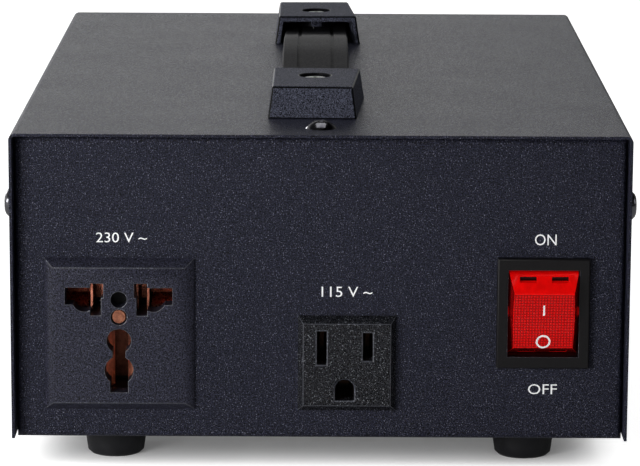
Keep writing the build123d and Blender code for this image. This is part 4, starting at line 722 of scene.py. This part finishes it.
finishes = {
    "case_paint": powderCoat("casePaint", casePaintLook),
    "universalPlastic": mouldedPlastic("universalSocketPlastic", universalPlasticLook),
    "usPlastic": mouldedPlastic("usSocketPlastic", usPlasticLook),
    "rivetCopper": drawnMetal("rivetCopper", rivetLook),
    "capEdgeShadePlastic": mouldedPlastic("capEdgeShadePlastic", capEdgeShadeLook),
    "edgeHighlightPlastic": mouldedPlastic("edgeHighlightCornerPlastic", edgeHighlightLook),
    "black_plastic": mouldedPlastic("innerBlackPlastic", innerPlasticLook),
    "bezel_plastic": mouldedPlastic("bezelPlastic", bezelLook),
    "cap_plastic": mouldedPlastic("capPlastic", capLook),
    "grey_plastic": mouldedPlastic("selectorGreyPlastic", greyPlasticLook),
    "button_plastic": mouldedPlastic("breakerButtonPlastic", buttonPlasticLook),
    "sleeve_plastic": mouldedPlastic("connectorSleevePlastic", sleeveLook),
    "strap_vinyl": softSkin("strapVinyl", strapVinylLook),
    "strapGrooveShade": softSkin("strapGrooveShadeVinyl", strapGrooveShadeLook),
    "foot_rubber": softSkin("footRubber", footRubberLook),
    "pad_rubber": softSkin("toroidPadRubber", padRubberLook),
    "black_steel": drawnMetal("blackScrewSteel", blackSteelLook),
    "zinc_steel": drawnMetal("zincSteel", zincLook),
    "contact_copper": drawnMetal("contactCopper", copperLook),
    "cheekPaintedLightCopper": drawnMetal("cheekPaintedLightCopper", cheekLightCopperLook),
    "shadedCopper": drawnMetal("shadedCopper", shadedCopperLook),
    "paintedShadeContact": drawnMetal("paintedShadeContact", contactShadeLook),
    "silver_contact": drawnMetal("silverContact", silverLook),
    "core_steel": drawnMetal("toroidCoreSteel", coreSteelLook),
    "winding_copper": woundCopper("toroidWindingCopper", windingLook),
    "wrap_tape": wrappedTape("toroidTape", tapeLook),
    "lamp_glass": softSkin("lampGlass", lampLook),
    "wire_earth": stripedInsulation("earthInsulation", earthInsulationLook),
    "rocker_red": rockerRed("rockerRed", rockerRedLook),
    "rockerGrid": rockerRed("rockerGridRed", rockerGridLook),
    "rockerPaintedShade": rockerRed("rockerPaintedShadeRed", rockerShadeLook),
    "rockerWindow": rockerRed("rockerWindowRed", rockerWindowLook),
    "ink": printInk("whitePrintInk", {"color": (0.97, 0.97, 0.98)}),
}
for wireSlot, color in wireColors.items():
    insulation = wireSlot.replace("wire_", "") + "Insulation"
    finishes[wireSlot] = softSkin(insulation, insulationLook(color))
print("finishes made,", len(finishes))

# Shared shaping.

fineGap = 0.001 * mm         # points nearer than this are one


def weld(maker, distance):
    bmesh.ops.remove_doubles(maker, verts=maker.verts, dist=distance)


def roundCorners(maker, edges, size, segments=2, finishIndex=0, clamp=True):
    if edges:
        made = bmesh.ops.bevel(
            maker,
            geom=edges,
            offset=size,
            offset_type="OFFSET",
            affect="EDGES",
            segments=segments,
            profile=0.5,
            material=-1,
            clamp_overlap=clamp,
        )
        for face in made["faces"]:
            face.material_index = finishIndex


def sharpEdges(maker, least):
    # The edges whose two faces turn by more than this many degrees.
    return [
        edge for edge in maker.edges
        if len(edge.link_faces) == 2 and edge.calc_face_angle(0.0) > radians(least)
    ]


def keepPiece(name, maker, finish, body, replaced=(), smooth=35.0):
    # Writes the mesh, gives it a finish and hangs it on its body.
    mesh = bpy.data.meshes.new(name)
    for face in maker.faces:
        face.smooth = True
    for edge in sharpEdges(maker, smooth):
        edge.smooth = False
    maker.to_mesh(mesh)
    maker.free()
    piece = bpy.data.objects.new(name, mesh)
    addToScene(piece)
    for one in finish if isinstance(finish, list) else [finish]:
        mesh.materials.append(finishes[one])
    if body:
        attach(piece, body)
    even = piece.modifiers.new("evenShading", "WEIGHTED_NORMAL")
    even.keep_sharp = True
    even.weight = 100
    if replaced:
        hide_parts(*replaced)
    return piece


def copyNode(node, merge=0.004 * mm, flat=0.4):
    # A CAD node's mesh, welded, with faces within flat degrees of each other joined.
    maker = bmesh.new()
    maker.from_mesh(nodes[node].data)
    weld(maker, merge)
    bmesh.ops.dissolve_limit(
        maker, angle_limit=radians(flat), verts=maker.verts, edges=maker.edges
    )
    return maker


def paintCapEdgeShade(maker, c):
    # The caps' rounded edges and the walls of their screw holes get a darker plastic: painted
    # shade.
    for face in maker.faces:
        normal, middle = face.normal, face.calc_center_median()
        onTop = c["topRound"][0] < normal.z < c["topRound"][1] and middle.z > c["topFrom"]
        onCorner = min(abs(normal.x), abs(normal.y)) > c["corner"]
        aroundHole = (middle.xy - Vector(c["hole"])).length < c["holeReach"]
        inHole = aroundHole and abs(normal.z) < c["upright"]
        if onTop or onCorner or inHole:
            face.material_index = 1


def refineNode(c):
    # A CAD node's own form with its corners broken by a small round.
    node, slot = c["node"], slotOf[c["node"]]
    finish = c.get("finish", slot)
    # A second finish goes on the rounds and on small chamfers facing the front: lighter on the
    # sockets and bezel as a painted highlight, darker on the caps as painted shade.
    edgeFinish = 1 if isinstance(finish, list) else 0
    maker = copyNode(node)
    if "shadeFaces" in c:
        paintCapEdgeShade(maker, c["shadeFaces"])
    if "chamferArea" in c:
        low, high = c["chamferTurn"]
        for face in maker.faces:
            if low < -face.normal.y < high and face.calc_area() < c["chamferArea"]:
                face.material_index = edgeFinish
    if c["round"]:
        edges = sharpEdges(maker, 50)
        roundCorners(maker, edges, c["round"], c.get("segments", 2), edgeFinish)
    weld(maker, fineGap)
    keepPiece(c["name"], maker, finish, bodyOf[node], [node], 40)


def facing(x, z, y):
    # A place on the front: text and signs lie in x and z and look to the front.
    return Matrix.Translation((x, y, z)) @ Matrix.Rotation(radians(90), 4, "X")


def sign(name, c, y):
    # Lettering as a thin mesh, scaled to its measured box on the front.
    curve = bpy.data.curves.new(name, "FONT")
    curve.body = c["text"]
    curve.resolution_u = 3
    holder = bpy.data.objects.new(name + "Holder", curve)
    addToScene(holder)
    bpy.context.view_layer.update()
    shaped = holder.evaluated_get(bpy.context.evaluated_depsgraph_get())
    flat = bpy.data.meshes.new_from_object(shaped)
    bpy.data.objects.remove(holder)
    maker = bmesh.new()
    maker.from_mesh(flat)
    bpy.data.meshes.remove(flat)
    weld(maker, 0.01 * mm)
    xs = [vert.co.x for vert in maker.verts]
    ys = [vert.co.y for vert in maker.verts]
    low, high = Vector((min(xs), min(ys), 0)), Vector((max(xs), max(ys), 0))
    size = high - low
    left, right, bottom, top = (side * mm for side in c["box"])
    grow = Matrix.Diagonal(((right - left) / size.x, (top - bottom) / size.y, 1.0, 1.0))
    bmesh.ops.transform(maker, matrix=grow @ Matrix.Translation(-low), verts=maker.verts)
    bmesh.ops.transform(maker, matrix=facing(left, bottom, y), verts=maker.verts)
    keepPiece(name, maker, "ink", "case")


# The case: its sheets keep the CAD form, with rolled corners and a paint skin.

caseParts = {
    "chassis": {"node": "chassis", "name": "caseBase", "round": 0.25 * mm},
    "cover": {"node": "cover", "name": "caseCover", "round": 0.3 * mm},
}
for part in caseParts.values():
    refineNode(part)
print("case done")

# The sockets, the switch's housing, the rear fittings, the handle's caps and the seen screws.

capShadeFaces = {
    "topRound": (0.3, 0.85),     # how far these faces turn upwards
    "topFrom": 103.4 * mm,
    "corner": 0.3,
    "upright": 0.3,
    "hole": (-1.7 * mm, -78.57 * mm),
    "holeReach": 5.0 * mm,
}
rearCapShadeFaces = {**capShadeFaces, "hole": (-1.7 * mm, 62.43 * mm)}
socketParts = [
    {
        "node": "universal_socket_face", "name": "universalSocketFace",
        "round": 0.2 * mm, "finish": ["universalPlastic", "edgeHighlightPlastic"],
    },
    {
        "node": "us_socket_body", "name": "usSocketFace",
        "round": 0.2 * mm, "finish": ["usPlastic", "edgeHighlightPlastic"],
        "chamferTurn": (0.5, 0.85), "chamferArea": 6 * mm * mm,
    },
    {
        "node": "switch_housing", "name": "switchBezel",
        "round": 0.25 * mm, "finish": ["bezel_plastic", "edgeHighlightPlastic"],
    },
    {"node": "inlet_body", "name": "mainsInlet", "round": 0.25 * mm},
    {"node": "selector_body", "name": "voltageSelectorBody", "round": 0.25 * mm},
    {"node": "selector_slider", "name": "voltageSelectorSlider", "round": 0.2 * mm},
    {"node": "breaker_body", "name": "breakerBody", "round": 0.25 * mm},
    {"node": "breaker_button", "name": "breakerButtonCap", "round": 0.35 * mm},
    {"node": "breaker_ring_nut", "name": "breakerRingNut", "round": 0.2 * mm},
    {
        "node": "handle_cap_front", "name": "frontHandleCap",
        "round": 0.75 * mm, "segments": 3,
        "finish": [slotOf["handle_cap_front"], "capEdgeShadePlastic"],
        "shadeFaces": capShadeFaces,
    },
    {
        "node": "handle_cap_rear", "name": "rearHandleCap",
        "round": 0.75 * mm, "segments": 3,
        "finish": [slotOf["handle_cap_rear"], "capEdgeShadePlastic"],
        "shadeFaces": rearCapShadeFaces,
    },
    {"node": "cover_top_screws", "name": "coverTopScrews", "round": 0.06 * mm},
    {"node": "rear_screws", "name": "rearPanelScrews", "round": 0.0},
    {"node": "earth_stud", "name": "earthStudPost", "round": 0.0},
    {
        "node": "universal_socket_rivet", "name": "universalSocketRivet",
        "round": 0.3 * mm, "segments": 3, "finish": "rivetCopper",
    },
]
for part in socketParts:
    refineNode(part)


def earthContact(outward=0.8):
    # The strip facing out of the keyhole gets a dark copper as painted shade, the jaws beside it a
    # bright one as painted light.
    maker = copyNode("universal_earth_contact")
    for face in maker.faces:
        if abs(face.normal.y) > outward:
            face.material_index = 1
    keepPiece(
        "universalEarthContact", maker, ["cheekPaintedLightCopper", "shadedCopper"],
        "case", ["universal_earth_contact"],
    )


earthContact()

handleScrewLook = {"headFrom": 102.0 * mm, "lift": 0.48 * mm}


def handleScrews(c):
    # The heads stand a little below the rims of the caps' holes.
    maker = copyNode("handle_screws")
    for vert in maker.verts:
        if vert.co.z > c["headFrom"]:
            vert.co.z += c["lift"]
    keepPiece("handleScrews", maker, "zinc_steel", "case", ["handle_screws"], 40)


handleScrews(handleScrewLook)

sideScrewLook = {"face": 85.0 * mm, "tip": 87.25 * mm, "rimShare": 0.001}


def sideScrews(c):
    # Pan heads: the dome's rim stands higher than a plain arch.
    maker = copyNode("cover_side_screws")
    height = c["tip"] - c["face"]
    for vert in maker.verts:
        side = 1 if vert.co.x > 0 else -1
        share = (abs(vert.co.x) - c["face"]) / height
        if share > c["rimShare"]:
            vert.co.x = side * (c["face"] + height * share * (2 - share))
    keepPiece(
        "coverSideScrews", maker, "black_steel", "case", ["cover_side_screws"], 45
    )


sideScrews(sideScrewLook)

footLook = {
    "spots": [(x * mm, y * mm) for x in (-57.685, 57.71) for y in (-102.97, 97.03)],
    "height": 9.0 * mm,
    "taper": 0.09,
    "wallFrom": 7.5 * mm,    # from a foot's middle: the screw's hole inside it stays straight
    "rimRadius": 8.0 * mm,
    "rimReach": 0.9 * mm,
    "rimHeight": 0.3 * mm,
    "round": 1.5 * mm,
}


def onLowerRim(vert, c):
    away = min(abs((vert.co.xy - Vector(spot)).length - c["rimRadius"]) for spot in c["spots"])
    return vert.co.z < c["rimHeight"] and away < c["rimReach"]


def rubberFeet(c):
    # Moulded rubber feet: drafted walls and a soft lower edge.
    maker = copyNode("feet")
    spots = {}
    for vert in maker.verts:
        spots.setdefault((vert.co.x > 0, vert.co.y > 0), []).append(vert)
    for group in spots.values():
        xs = [vert.co.x for vert in group]
        ys = [vert.co.y for vert in group]
        middle = Vector(((min(xs) + max(xs)) / 2, (min(ys) + max(ys)) / 2, 0))
        for vert in group:
            away = Vector((vert.co.x, vert.co.y, 0)) - middle
            if away.length > c["wallFrom"]:
                narrow = 1 - c["taper"] * (1 - vert.co.z / c["height"])
                vert.co.x = middle.x + away.x * narrow
                vert.co.y = middle.y + away.y * narrow
    lower = [
        edge for edge in sharpEdges(maker, 60) if all(onLowerRim(vert, c) for vert in edge.verts)
    ]
    roundCorners(maker, lower, c["round"], segments=4, clamp=False)
    keepPiece("rubberFeet", maker, "foot_rubber", "case", ["feet"], 45)


rubberFeet(footLook)
print("sockets, switch, rear fittings, feet and caps done")

# The strap: one soft band in four lengths, each bent across one of its hinges.

strapShape = {
    "middleX": -1.7 * mm,
    "bends": [-60.069 * mm, -20.326 * mm, 4.188 * mm, 43.931 * mm],
    "bodies": [
        "strap_front_end", "strap_front_run", "strap_middle", "strap_rear_run", "strap_rear_end",
    ],
    "hinges": (97.9 * mm, 102.428 * mm),    # height of the outer and of the inner ones
    "reach": 9.0 * mm,       # each bend is eased over this much strap on both sides
    "station": 2.0 * mm,
    "restFold": 6.5,
    "softEdge": 0.45 * mm,
    "edgeFrom": 9.5 * mm,
    "groove": 5.0 * mm,      # from the strap's middle
    "halfGroove": 0.52 * mm,
}


def cutAcross(maker, y, **cleared):
    geometry = list(maker.verts) + list(maker.edges) + list(maker.faces)
    bmesh.ops.bisect_plane(
        maker, geom=geometry, dist=1e-7, plane_co=(0, y, 0), plane_no=(0, 1, 0), **cleared
    )


def cutAt(maker, y, keepAfter):
    # Cuts the strap off before or after y and closes the cut.
    cutAcross(maker, y, clear_inner=keepAfter, clear_outer=not keepAfter)
    rim = [edge for edge in maker.edges if edge.is_boundary]
    bmesh.ops.holes_fill(maker, edges=rim, sides=0)


def strapLength(c, index):
    # One hinge with half of the strap on each side of it, as a closed band.
    first, second = c["bodies"][index], c["bodies"][index + 1]
    bend = c["bends"][index]
    cuts = [(a + b) / 2 for a, b in zip(c["bends"], c["bends"][1:])]
    maker, otherMaker = copyNode(first), copyNode(second)
    if index > 0:
        cutAt(maker, cuts[index - 1], True)
    if index < len(cuts):
        cutAt(otherMaker, cuts[index], False)
    other = bpy.data.meshes.new("strapOther")
    otherMaker.to_mesh(other)
    otherMaker.free()
    maker.from_mesh(other)
    bpy.data.meshes.remove(other)
    alongStrap, straight, endReach, slack = 0.9, 0.97, 1.0 * mm, 0.1 * mm
    facingEnds = [
        face for face in maker.faces
        if abs(face.normal.y) > alongStrap and abs(face.calc_center_median().y - bend) < endReach
    ]
    rims = [
        edge for edge in maker.edges if sum(face in facingEnds for face in edge.link_faces) == 1
    ]
    bmesh.ops.delete(maker, geom=facingEnds, context="FACES_ONLY")
    bmesh.ops.bridge_loops(maker, edges=[edge for edge in rims if edge.is_valid])
    weld(maker, 2 * fineGap)
    bmesh.ops.recalc_face_normals(maker, faces=maker.faces)
    longEdges = [
        edge for edge in sharpEdges(maker, 60)
        if abs((edge.verts[0].co - edge.verts[1].co).normalized().y) > straight
        and abs(edge.verts[0].co.x - c["middleX"]) > c["edgeFrom"]
    ]
    roundCorners(maker, longEdges, c["softEdge"], 3)
    spot = bend - c["reach"]
    while spot < bend + c["reach"] + slack:
        cutAcross(maker, spot)
        spot += c["station"]
    turn = [1, -1, -1, 1][index] * tan(radians(c["restFold"]))
    for vert in maker.verts:
        away = abs(vert.co.y - bend)
        if away < c["reach"]:
            vert.co.z += turn * (c["reach"] - away) ** 2 / (4 * c["reach"])
    # Upward faces in the two grooves get a darker vinyl: painted shade.
    for face in maker.faces:
        aside = abs(face.calc_center_median().x - c["middleX"])
        inGroove = abs(aside - c["groove"]) < c["halfGroove"]
        if inGroove and face.normal.z > 0.5:
            face.material_index = 1
    replaced = [first, second] if index in (0, 2) else [second] if index == 3 else []
    name, finish = "strapLength" + str(index + 1), ["strap_vinyl", "strapGrooveShade"]
    piece = keepPiece(name, maker, finish, None, (), 50)
    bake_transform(piece)
    if replaced:
        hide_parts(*replaced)


for index in range(len(strapShape["bends"])):
    strapLength(strapShape, index)
print("strap done")

# The rocker: the CAD form with softer corners, a moulded grid on its lower half, and I and O.

rockerLook = {
    "round": 0.35 * mm,
    "sideSlope": 0.42,
    "slopeStart": 2.4 * mm,
    "mostSlope": 1.25 * mm,
    "pivot": (-122.469 * mm, 45.2 * mm),
    "restTilt": 11.0,
    "ridge": (4.3 * mm, 5.0 * mm, 7.9 * mm, 8.6 * mm),
    "flank": (4.6, 3.6),
    "lowerRidge": 0.85 * mm,
    "upperRidge": 0.5 * mm,
    "middleX": 61.506 * mm,
    "windowX": 4.4 * mm,
    "windowArea": (3.5 * mm * mm, 7.0 * mm * mm),
    "windowReach": 0.5 * mm,
    "forward": -0.2,         # faces of the front turn at least this far towards it
    "downward": -0.35,
    "gridTurn": (-0.7, 0.45),
    "gridArea": 2 * mm * mm,
    "sideFrom": 9.0 * mm,
    "sideTurn": 0.8,
    "edgeRound": 0.12 * mm,
}
rockerFinishes = ["rocker_red", "rockerGrid", "rockerPaintedShade", "rockerWindow"]


def rockerFinish(face, c):
    normal, middle, area = face.normal, face.calc_center_median(), face.calc_area()
    offset = abs(abs(middle.x - c["middleX"]) - c["windowX"])
    least, most = c["windowArea"]
    if offset < c["windowReach"] and least < area < most and normal.y < c["forward"]:
        return "rockerWindow"
    # Faces turned down and to the front get a dark red: painted shade.
    if normal.y < c["forward"] and normal.z < c["downward"]:
        return "rockerPaintedShade"
    outward, level = c["gridTurn"]
    if normal.y < outward and abs(normal.z) < level and area > c["gridArea"]:
        return "rockerGrid"
    return "rocker_red"


def rockerPiece(c):
    maker = copyNode("rocker")
    for face in maker.faces:
        face.material_index = rockerFinishes.index(rockerFinish(face, c))
    # The drafted sides and the worn ridges, worked in the rocker's own upright place.
    pivot = Vector((0, *c["pivot"]))
    upright = Matrix.Rotation(radians(-c["restTilt"]), 4, "X") @ Matrix.Translation(-pivot)
    bmesh.ops.transform(maker, matrix=upright, verts=maker.verts)
    slide = c["flank"][0] / c["flank"][1]
    for vert in maker.verts:
        out = -vert.co.y - c["slopeStart"]
        shallow, start, crest, end = c["ridge"]
        high = abs(vert.co.z)
        if -vert.co.y > shallow and start < high < end:
            share = min(1.0, (high - start) / (crest - start))
            if vert.co.z < 0:
                vert.co.z -= c["lowerRidge"] * share
                vert.co.y += c["lowerRidge"] * share * slide
            else:
                vert.co.z -= c["upperRidge"] * share
        if abs(vert.co.x - c["middleX"]) > c["sideFrom"] and out > 0:
            inward = min(c["mostSlope"], c["sideSlope"] * out)
            vert.co.x += inward if vert.co.x < c["middleX"] else -inward
    bmesh.ops.transform(maker, matrix=upright.inverted(), verts=maker.verts)
    bmesh.ops.recalc_face_normals(maker, faces=maker.faces)
    for face in maker.faces:
        # The drafted side faces get the same dark red: painted shade.
        if abs(face.normal.x) > c["sideTurn"]:
            face.material_index = rockerFinishes.index("rockerPaintedShade")
    roundCorners(maker, sharpEdges(maker, 60), c["edgeRound"])
    weld(maker, fineGap)
    return keepPiece("rockerButton", maker, rockerFinishes, "rocker", ["rocker"], 40)


rocker = rockerPiece(rockerLook)
rockerSigns = {
    "lineHalf": (0.25 * mm, 1.5 * mm),
    "lineMiddle": (61.5 * mm, 46.7 * mm),
    "ringMiddle": (61.5 * mm, 37.5 * mm),
    "ringOuter": 2.03 * mm,
    "ringInner": 1.5 * mm,
    "ringSides": 48,
    "lift": 0.035 * mm,
}


def layOnRocker(name, maker, lift):
    # Puts a flat sign, drawn in x and z, on the rocker's own face.
    bpy.context.view_layer.update()
    wellBefore, rearward = -0.2, Vector((0, 1, 0))
    for vert in maker.verts:
        start = Vector((vert.co.x, wellBefore, vert.co.z))
        vert.co.y = rocker.ray_cast(start, rearward)[1].y - lift
    bmesh.ops.recalc_face_normals(maker, faces=maker.faces)
    if sum(face.normal.y for face in maker.faces) > 0:
        bmesh.ops.reverse_faces(maker, faces=maker.faces)
    keepPiece(name, maker, "ink", "rocker")


def rockerMarks(c):
    line = bmesh.new()
    bmesh.ops.create_grid(line, x_segments=2, y_segments=8, size=1.0)
    bmesh.ops.scale(line, vec=(c["lineHalf"][0], c["lineHalf"][1], 1), verts=line.verts)
    bmesh.ops.transform(line, matrix=facing(*c["lineMiddle"], 0), verts=line.verts)
    layOnRocker("rockerLineMark", line, c["lift"])
    ring = bmesh.new()
    bmesh.ops.create_circle(ring, segments=c["ringSides"], radius=c["ringOuter"])
    inner = bmesh.ops.extrude_edge_only(ring, edges=list(ring.edges))["geom"]
    inside = [part for part in inner if isinstance(part, bmesh.types.BMVert)]
    share = c["ringInner"] / c["ringOuter"]
    bmesh.ops.scale(ring, vec=(share, share, 1), verts=inside)
    bmesh.ops.transform(ring, matrix=facing(*c["ringMiddle"], 0), verts=ring.verts)
    layOnRocker("rockerRingMark", ring, c["lift"])


rockerMarks(rockerSigns)
print("rocker done")

# Printed words and signs.

panelFront = -123.469 * mm
inkLift = 0.03 * mm
prints = {                   # each box: left, right, bottom and top, in millimetres
    "printOn": {"text": "ON", "box": (58.9, 64.9, 64.1, 67.2)},
    "printOff": {"text": "OFF", "box": (57.7, 65.7, 22.0, 24.9)},
    "printHighVoltage": {"text": "230 V ~", "box": (-61.6, -47.6, 64.3, 67.1)},
    "printLowVoltage": {"text": "115 V ~", "box": (0.4, 14.4, 49.3, 52.2)},
}
for name, c in prints.items():
    sign(name, c, panelFront - inkLift)
print("prints done")

# CAD nodes that keep their own mesh get their finish.

# The US socket's contacts, deep inside, get a dark copper instead of their own: painted shade.
paintedShadeNodes = ("us_live_contacts", "us_earth_contact")
shown = {name: node for name, node in nodes.items() if not node.hide_render}
for name, node in shown.items():
    node.data.materials.clear()
    node.data.materials.append(finishes["paintedShadeContact" if name in paintedShadeNodes else slotOf[name]])
print("finish given to", len(shown), "nodes")

# Floor and light.

studioLook = {               # from, to, and the brightness at each of the two
    "upward": (0.14, 0.65, 1.0, 0.05),
    "rearward": (0.1, 0.9, 1.0, 1.72),
    "rightward": (0.0, 0.3, 1.0, 0.1),
    "ambient": 0.12,
}


def studio(c):
    world = bpy.data.worlds.new("studio")
    bpy.context.scene.world = world
    world.use_nodes = True
    tree = world.node_tree
    tree.nodes.clear()
    out = addNode(tree, "ShaderNodeOutputWorld")
    seen = addNode(tree, "ShaderNodeBackground", {"Color": (1, 1, 1, 1), "Strength": 1.0})
    mirrored = addNode(tree, "ShaderNodeBackground", {"Color": (1, 1, 1, 1)})
    around = addNode(
        tree, "ShaderNodeBackground", {"Color": (1, 1, 1, 1), "Strength": c["ambient"]}
    )
    path = addNode(tree, "ShaderNodeLightPath")
    place = addNode(tree, "ShaderNodeTexCoord")
    parts = addNode(tree, "ShaderNodeSeparateXYZ")
    wire(tree, place, "Generated", parts, "Vector")
    # What a glossy surface mirrors: bright all round at eye level, dark overhead.
    level = between(tree, parts, "Z", *c["upward"])
    behind = between(tree, parts, "Y", *c["rearward"])
    rightSide = between(tree, parts, "X", *c["rightward"])
    shaded = product(tree, (level, "Result"), (rightSide, "Result"))
    wire(tree, product(tree, (shaded, "Value"), (behind, "Result")), "Value", mirrored, "Strength")
    notCamera = addNode(tree, "ShaderNodeMixShader")
    final = addNode(tree, "ShaderNodeMixShader")
    mirrorRay = addNode(tree, "ShaderNodeMath", operation="MAXIMUM")
    wire(tree, path, "Is Glossy Ray", mirrorRay, 0)
    wire(tree, path, "Is Transmission Ray", mirrorRay, 1)
    wire(tree, mirrorRay, "Value", notCamera, "Fac")
    tree.links.new(around.outputs[0], notCamera.inputs[1])
    tree.links.new(mirrored.outputs[0], notCamera.inputs[2])
    wire(tree, path, "Is Camera Ray", final, "Fac")
    tree.links.new(notCamera.outputs[0], final.inputs[1])
    tree.links.new(seen.outputs[0], final.inputs[2])
    wire(tree, final, "Shader", out, "Surface")


def softLamp(name, c):
    data = bpy.data.lights.new(name, "AREA")
    data.energy = c["power"]
    data.shape = "RECTANGLE"
    data.size = data.size_y = c["size"]
    lamp = bpy.data.objects.new(name, data)
    lamp.location = c["place"]
    aim = Vector(c["target"]) - Vector(c["place"])
    lamp.rotation_euler = aim.to_track_quat("-Z", "Y").to_euler()
    addToScene(lamp)


frontPanel, frontEdge = (0, -0.12, 0.05), (-0.08, -0.12, 0.05)
lamps = {                    # power in watts, side of the square in metres
    "keyLamp": {
        "power": 3.0, "size": 0.25, "place": (-0.42, -0.62, 0.2), "target": (-0.03, -0.12, 0.05),
    },
    "edgeLamp": {"power": 4.0, "size": 0.3, "place": (-1.1, -0.25, 0.25), "target": frontEdge},
    "frontLamp": {"power": 1.0, "size": 0.3, "place": (-0.45, -1.5, 0.45), "target": frontPanel},
    "rightLamp": {
        "power": 0.8, "size": 0.4, "place": (1.25, 0.25, 0.35), "target": (0.08, 0.0, 0.05),
    },
    "rearLamp": {
        "power": 4.0, "size": 0.4, "place": (-0.95, 1.15, 0.35), "target": (0, 0.12, 0.05),
    },
    "topLamp": {"power": 5.0, "size": 0.9, "place": (0.0, 0.15, 1.3), "target": (0, 0.1, 0.05)},
}
studio(studioLook)
for name, c in lamps.items():
    softLamp(name, c)


floorLook = {
    "halfSize": 3.0,
    "color": (0.85, 0.85, 0.85),
    "tonePitch": 0.4,
    "tone": (0.79, 0.81),
    "shadowReach": 0.03,
    "shadow": (0.10, 0.33, 0.12, 1.0),      # openness, from and to, and the tone at each
}


def floorPlane(c):
    maker = bmesh.new()
    bmesh.ops.create_grid(maker, x_segments=8, y_segments=8, size=c["halfSize"])
    mesh = bpy.data.meshes.new("studioFloor")
    maker.to_mesh(mesh)
    maker.free()
    floor = bpy.data.objects.new("studioFloor", mesh)
    addToScene(floor)
    material = bpy.data.materials.new("paleFloor")
    material.use_nodes = True
    tree = material.node_tree
    tree.nodes.clear()
    out = addNode(tree, "ShaderNodeOutputMaterial")
    matt = addNode(tree, "ShaderNodeBsdfDiffuse", {"Color": opaque(c["color"])})
    lift = addNode(tree, "ShaderNodeEmission", {"Color": (1, 1, 1, 1)})
    path = addNode(tree, "ShaderNodeLightPath")
    both = addNode(tree, "ShaderNodeAddShader")
    place = addNode(tree, "ShaderNodeTexCoord")
    tone = between(tree, grain(tree, place, c["tonePitch"]), "Fac", *usualSpread, *c["tone"])
    # The white sweep's camera-only glow is painted darker close to the object: a painted contact
    # shadow.
    near = addNode(
        tree, "ShaderNodeAmbientOcclusion", {"Distance": c["shadowReach"]}, samples=16
    )
    shadow = between(tree, near, "AO", *c["shadow"])
    lit = product(tree, (shadow, "Result"), (tone, "Result"))
    seen = product(tree, (path, "Is Camera Ray"), (lit, "Value"))
    wire(tree, seen, "Value", lift, "Strength")
    tree.links.new(matt.outputs[0], both.inputs[0])
    tree.links.new(lift.outputs[0], both.inputs[1])
    wire(tree, both, "Shader", out, "Surface")
    mesh.materials.append(material)


floorPlane(floorLook)
print("floor and light set")
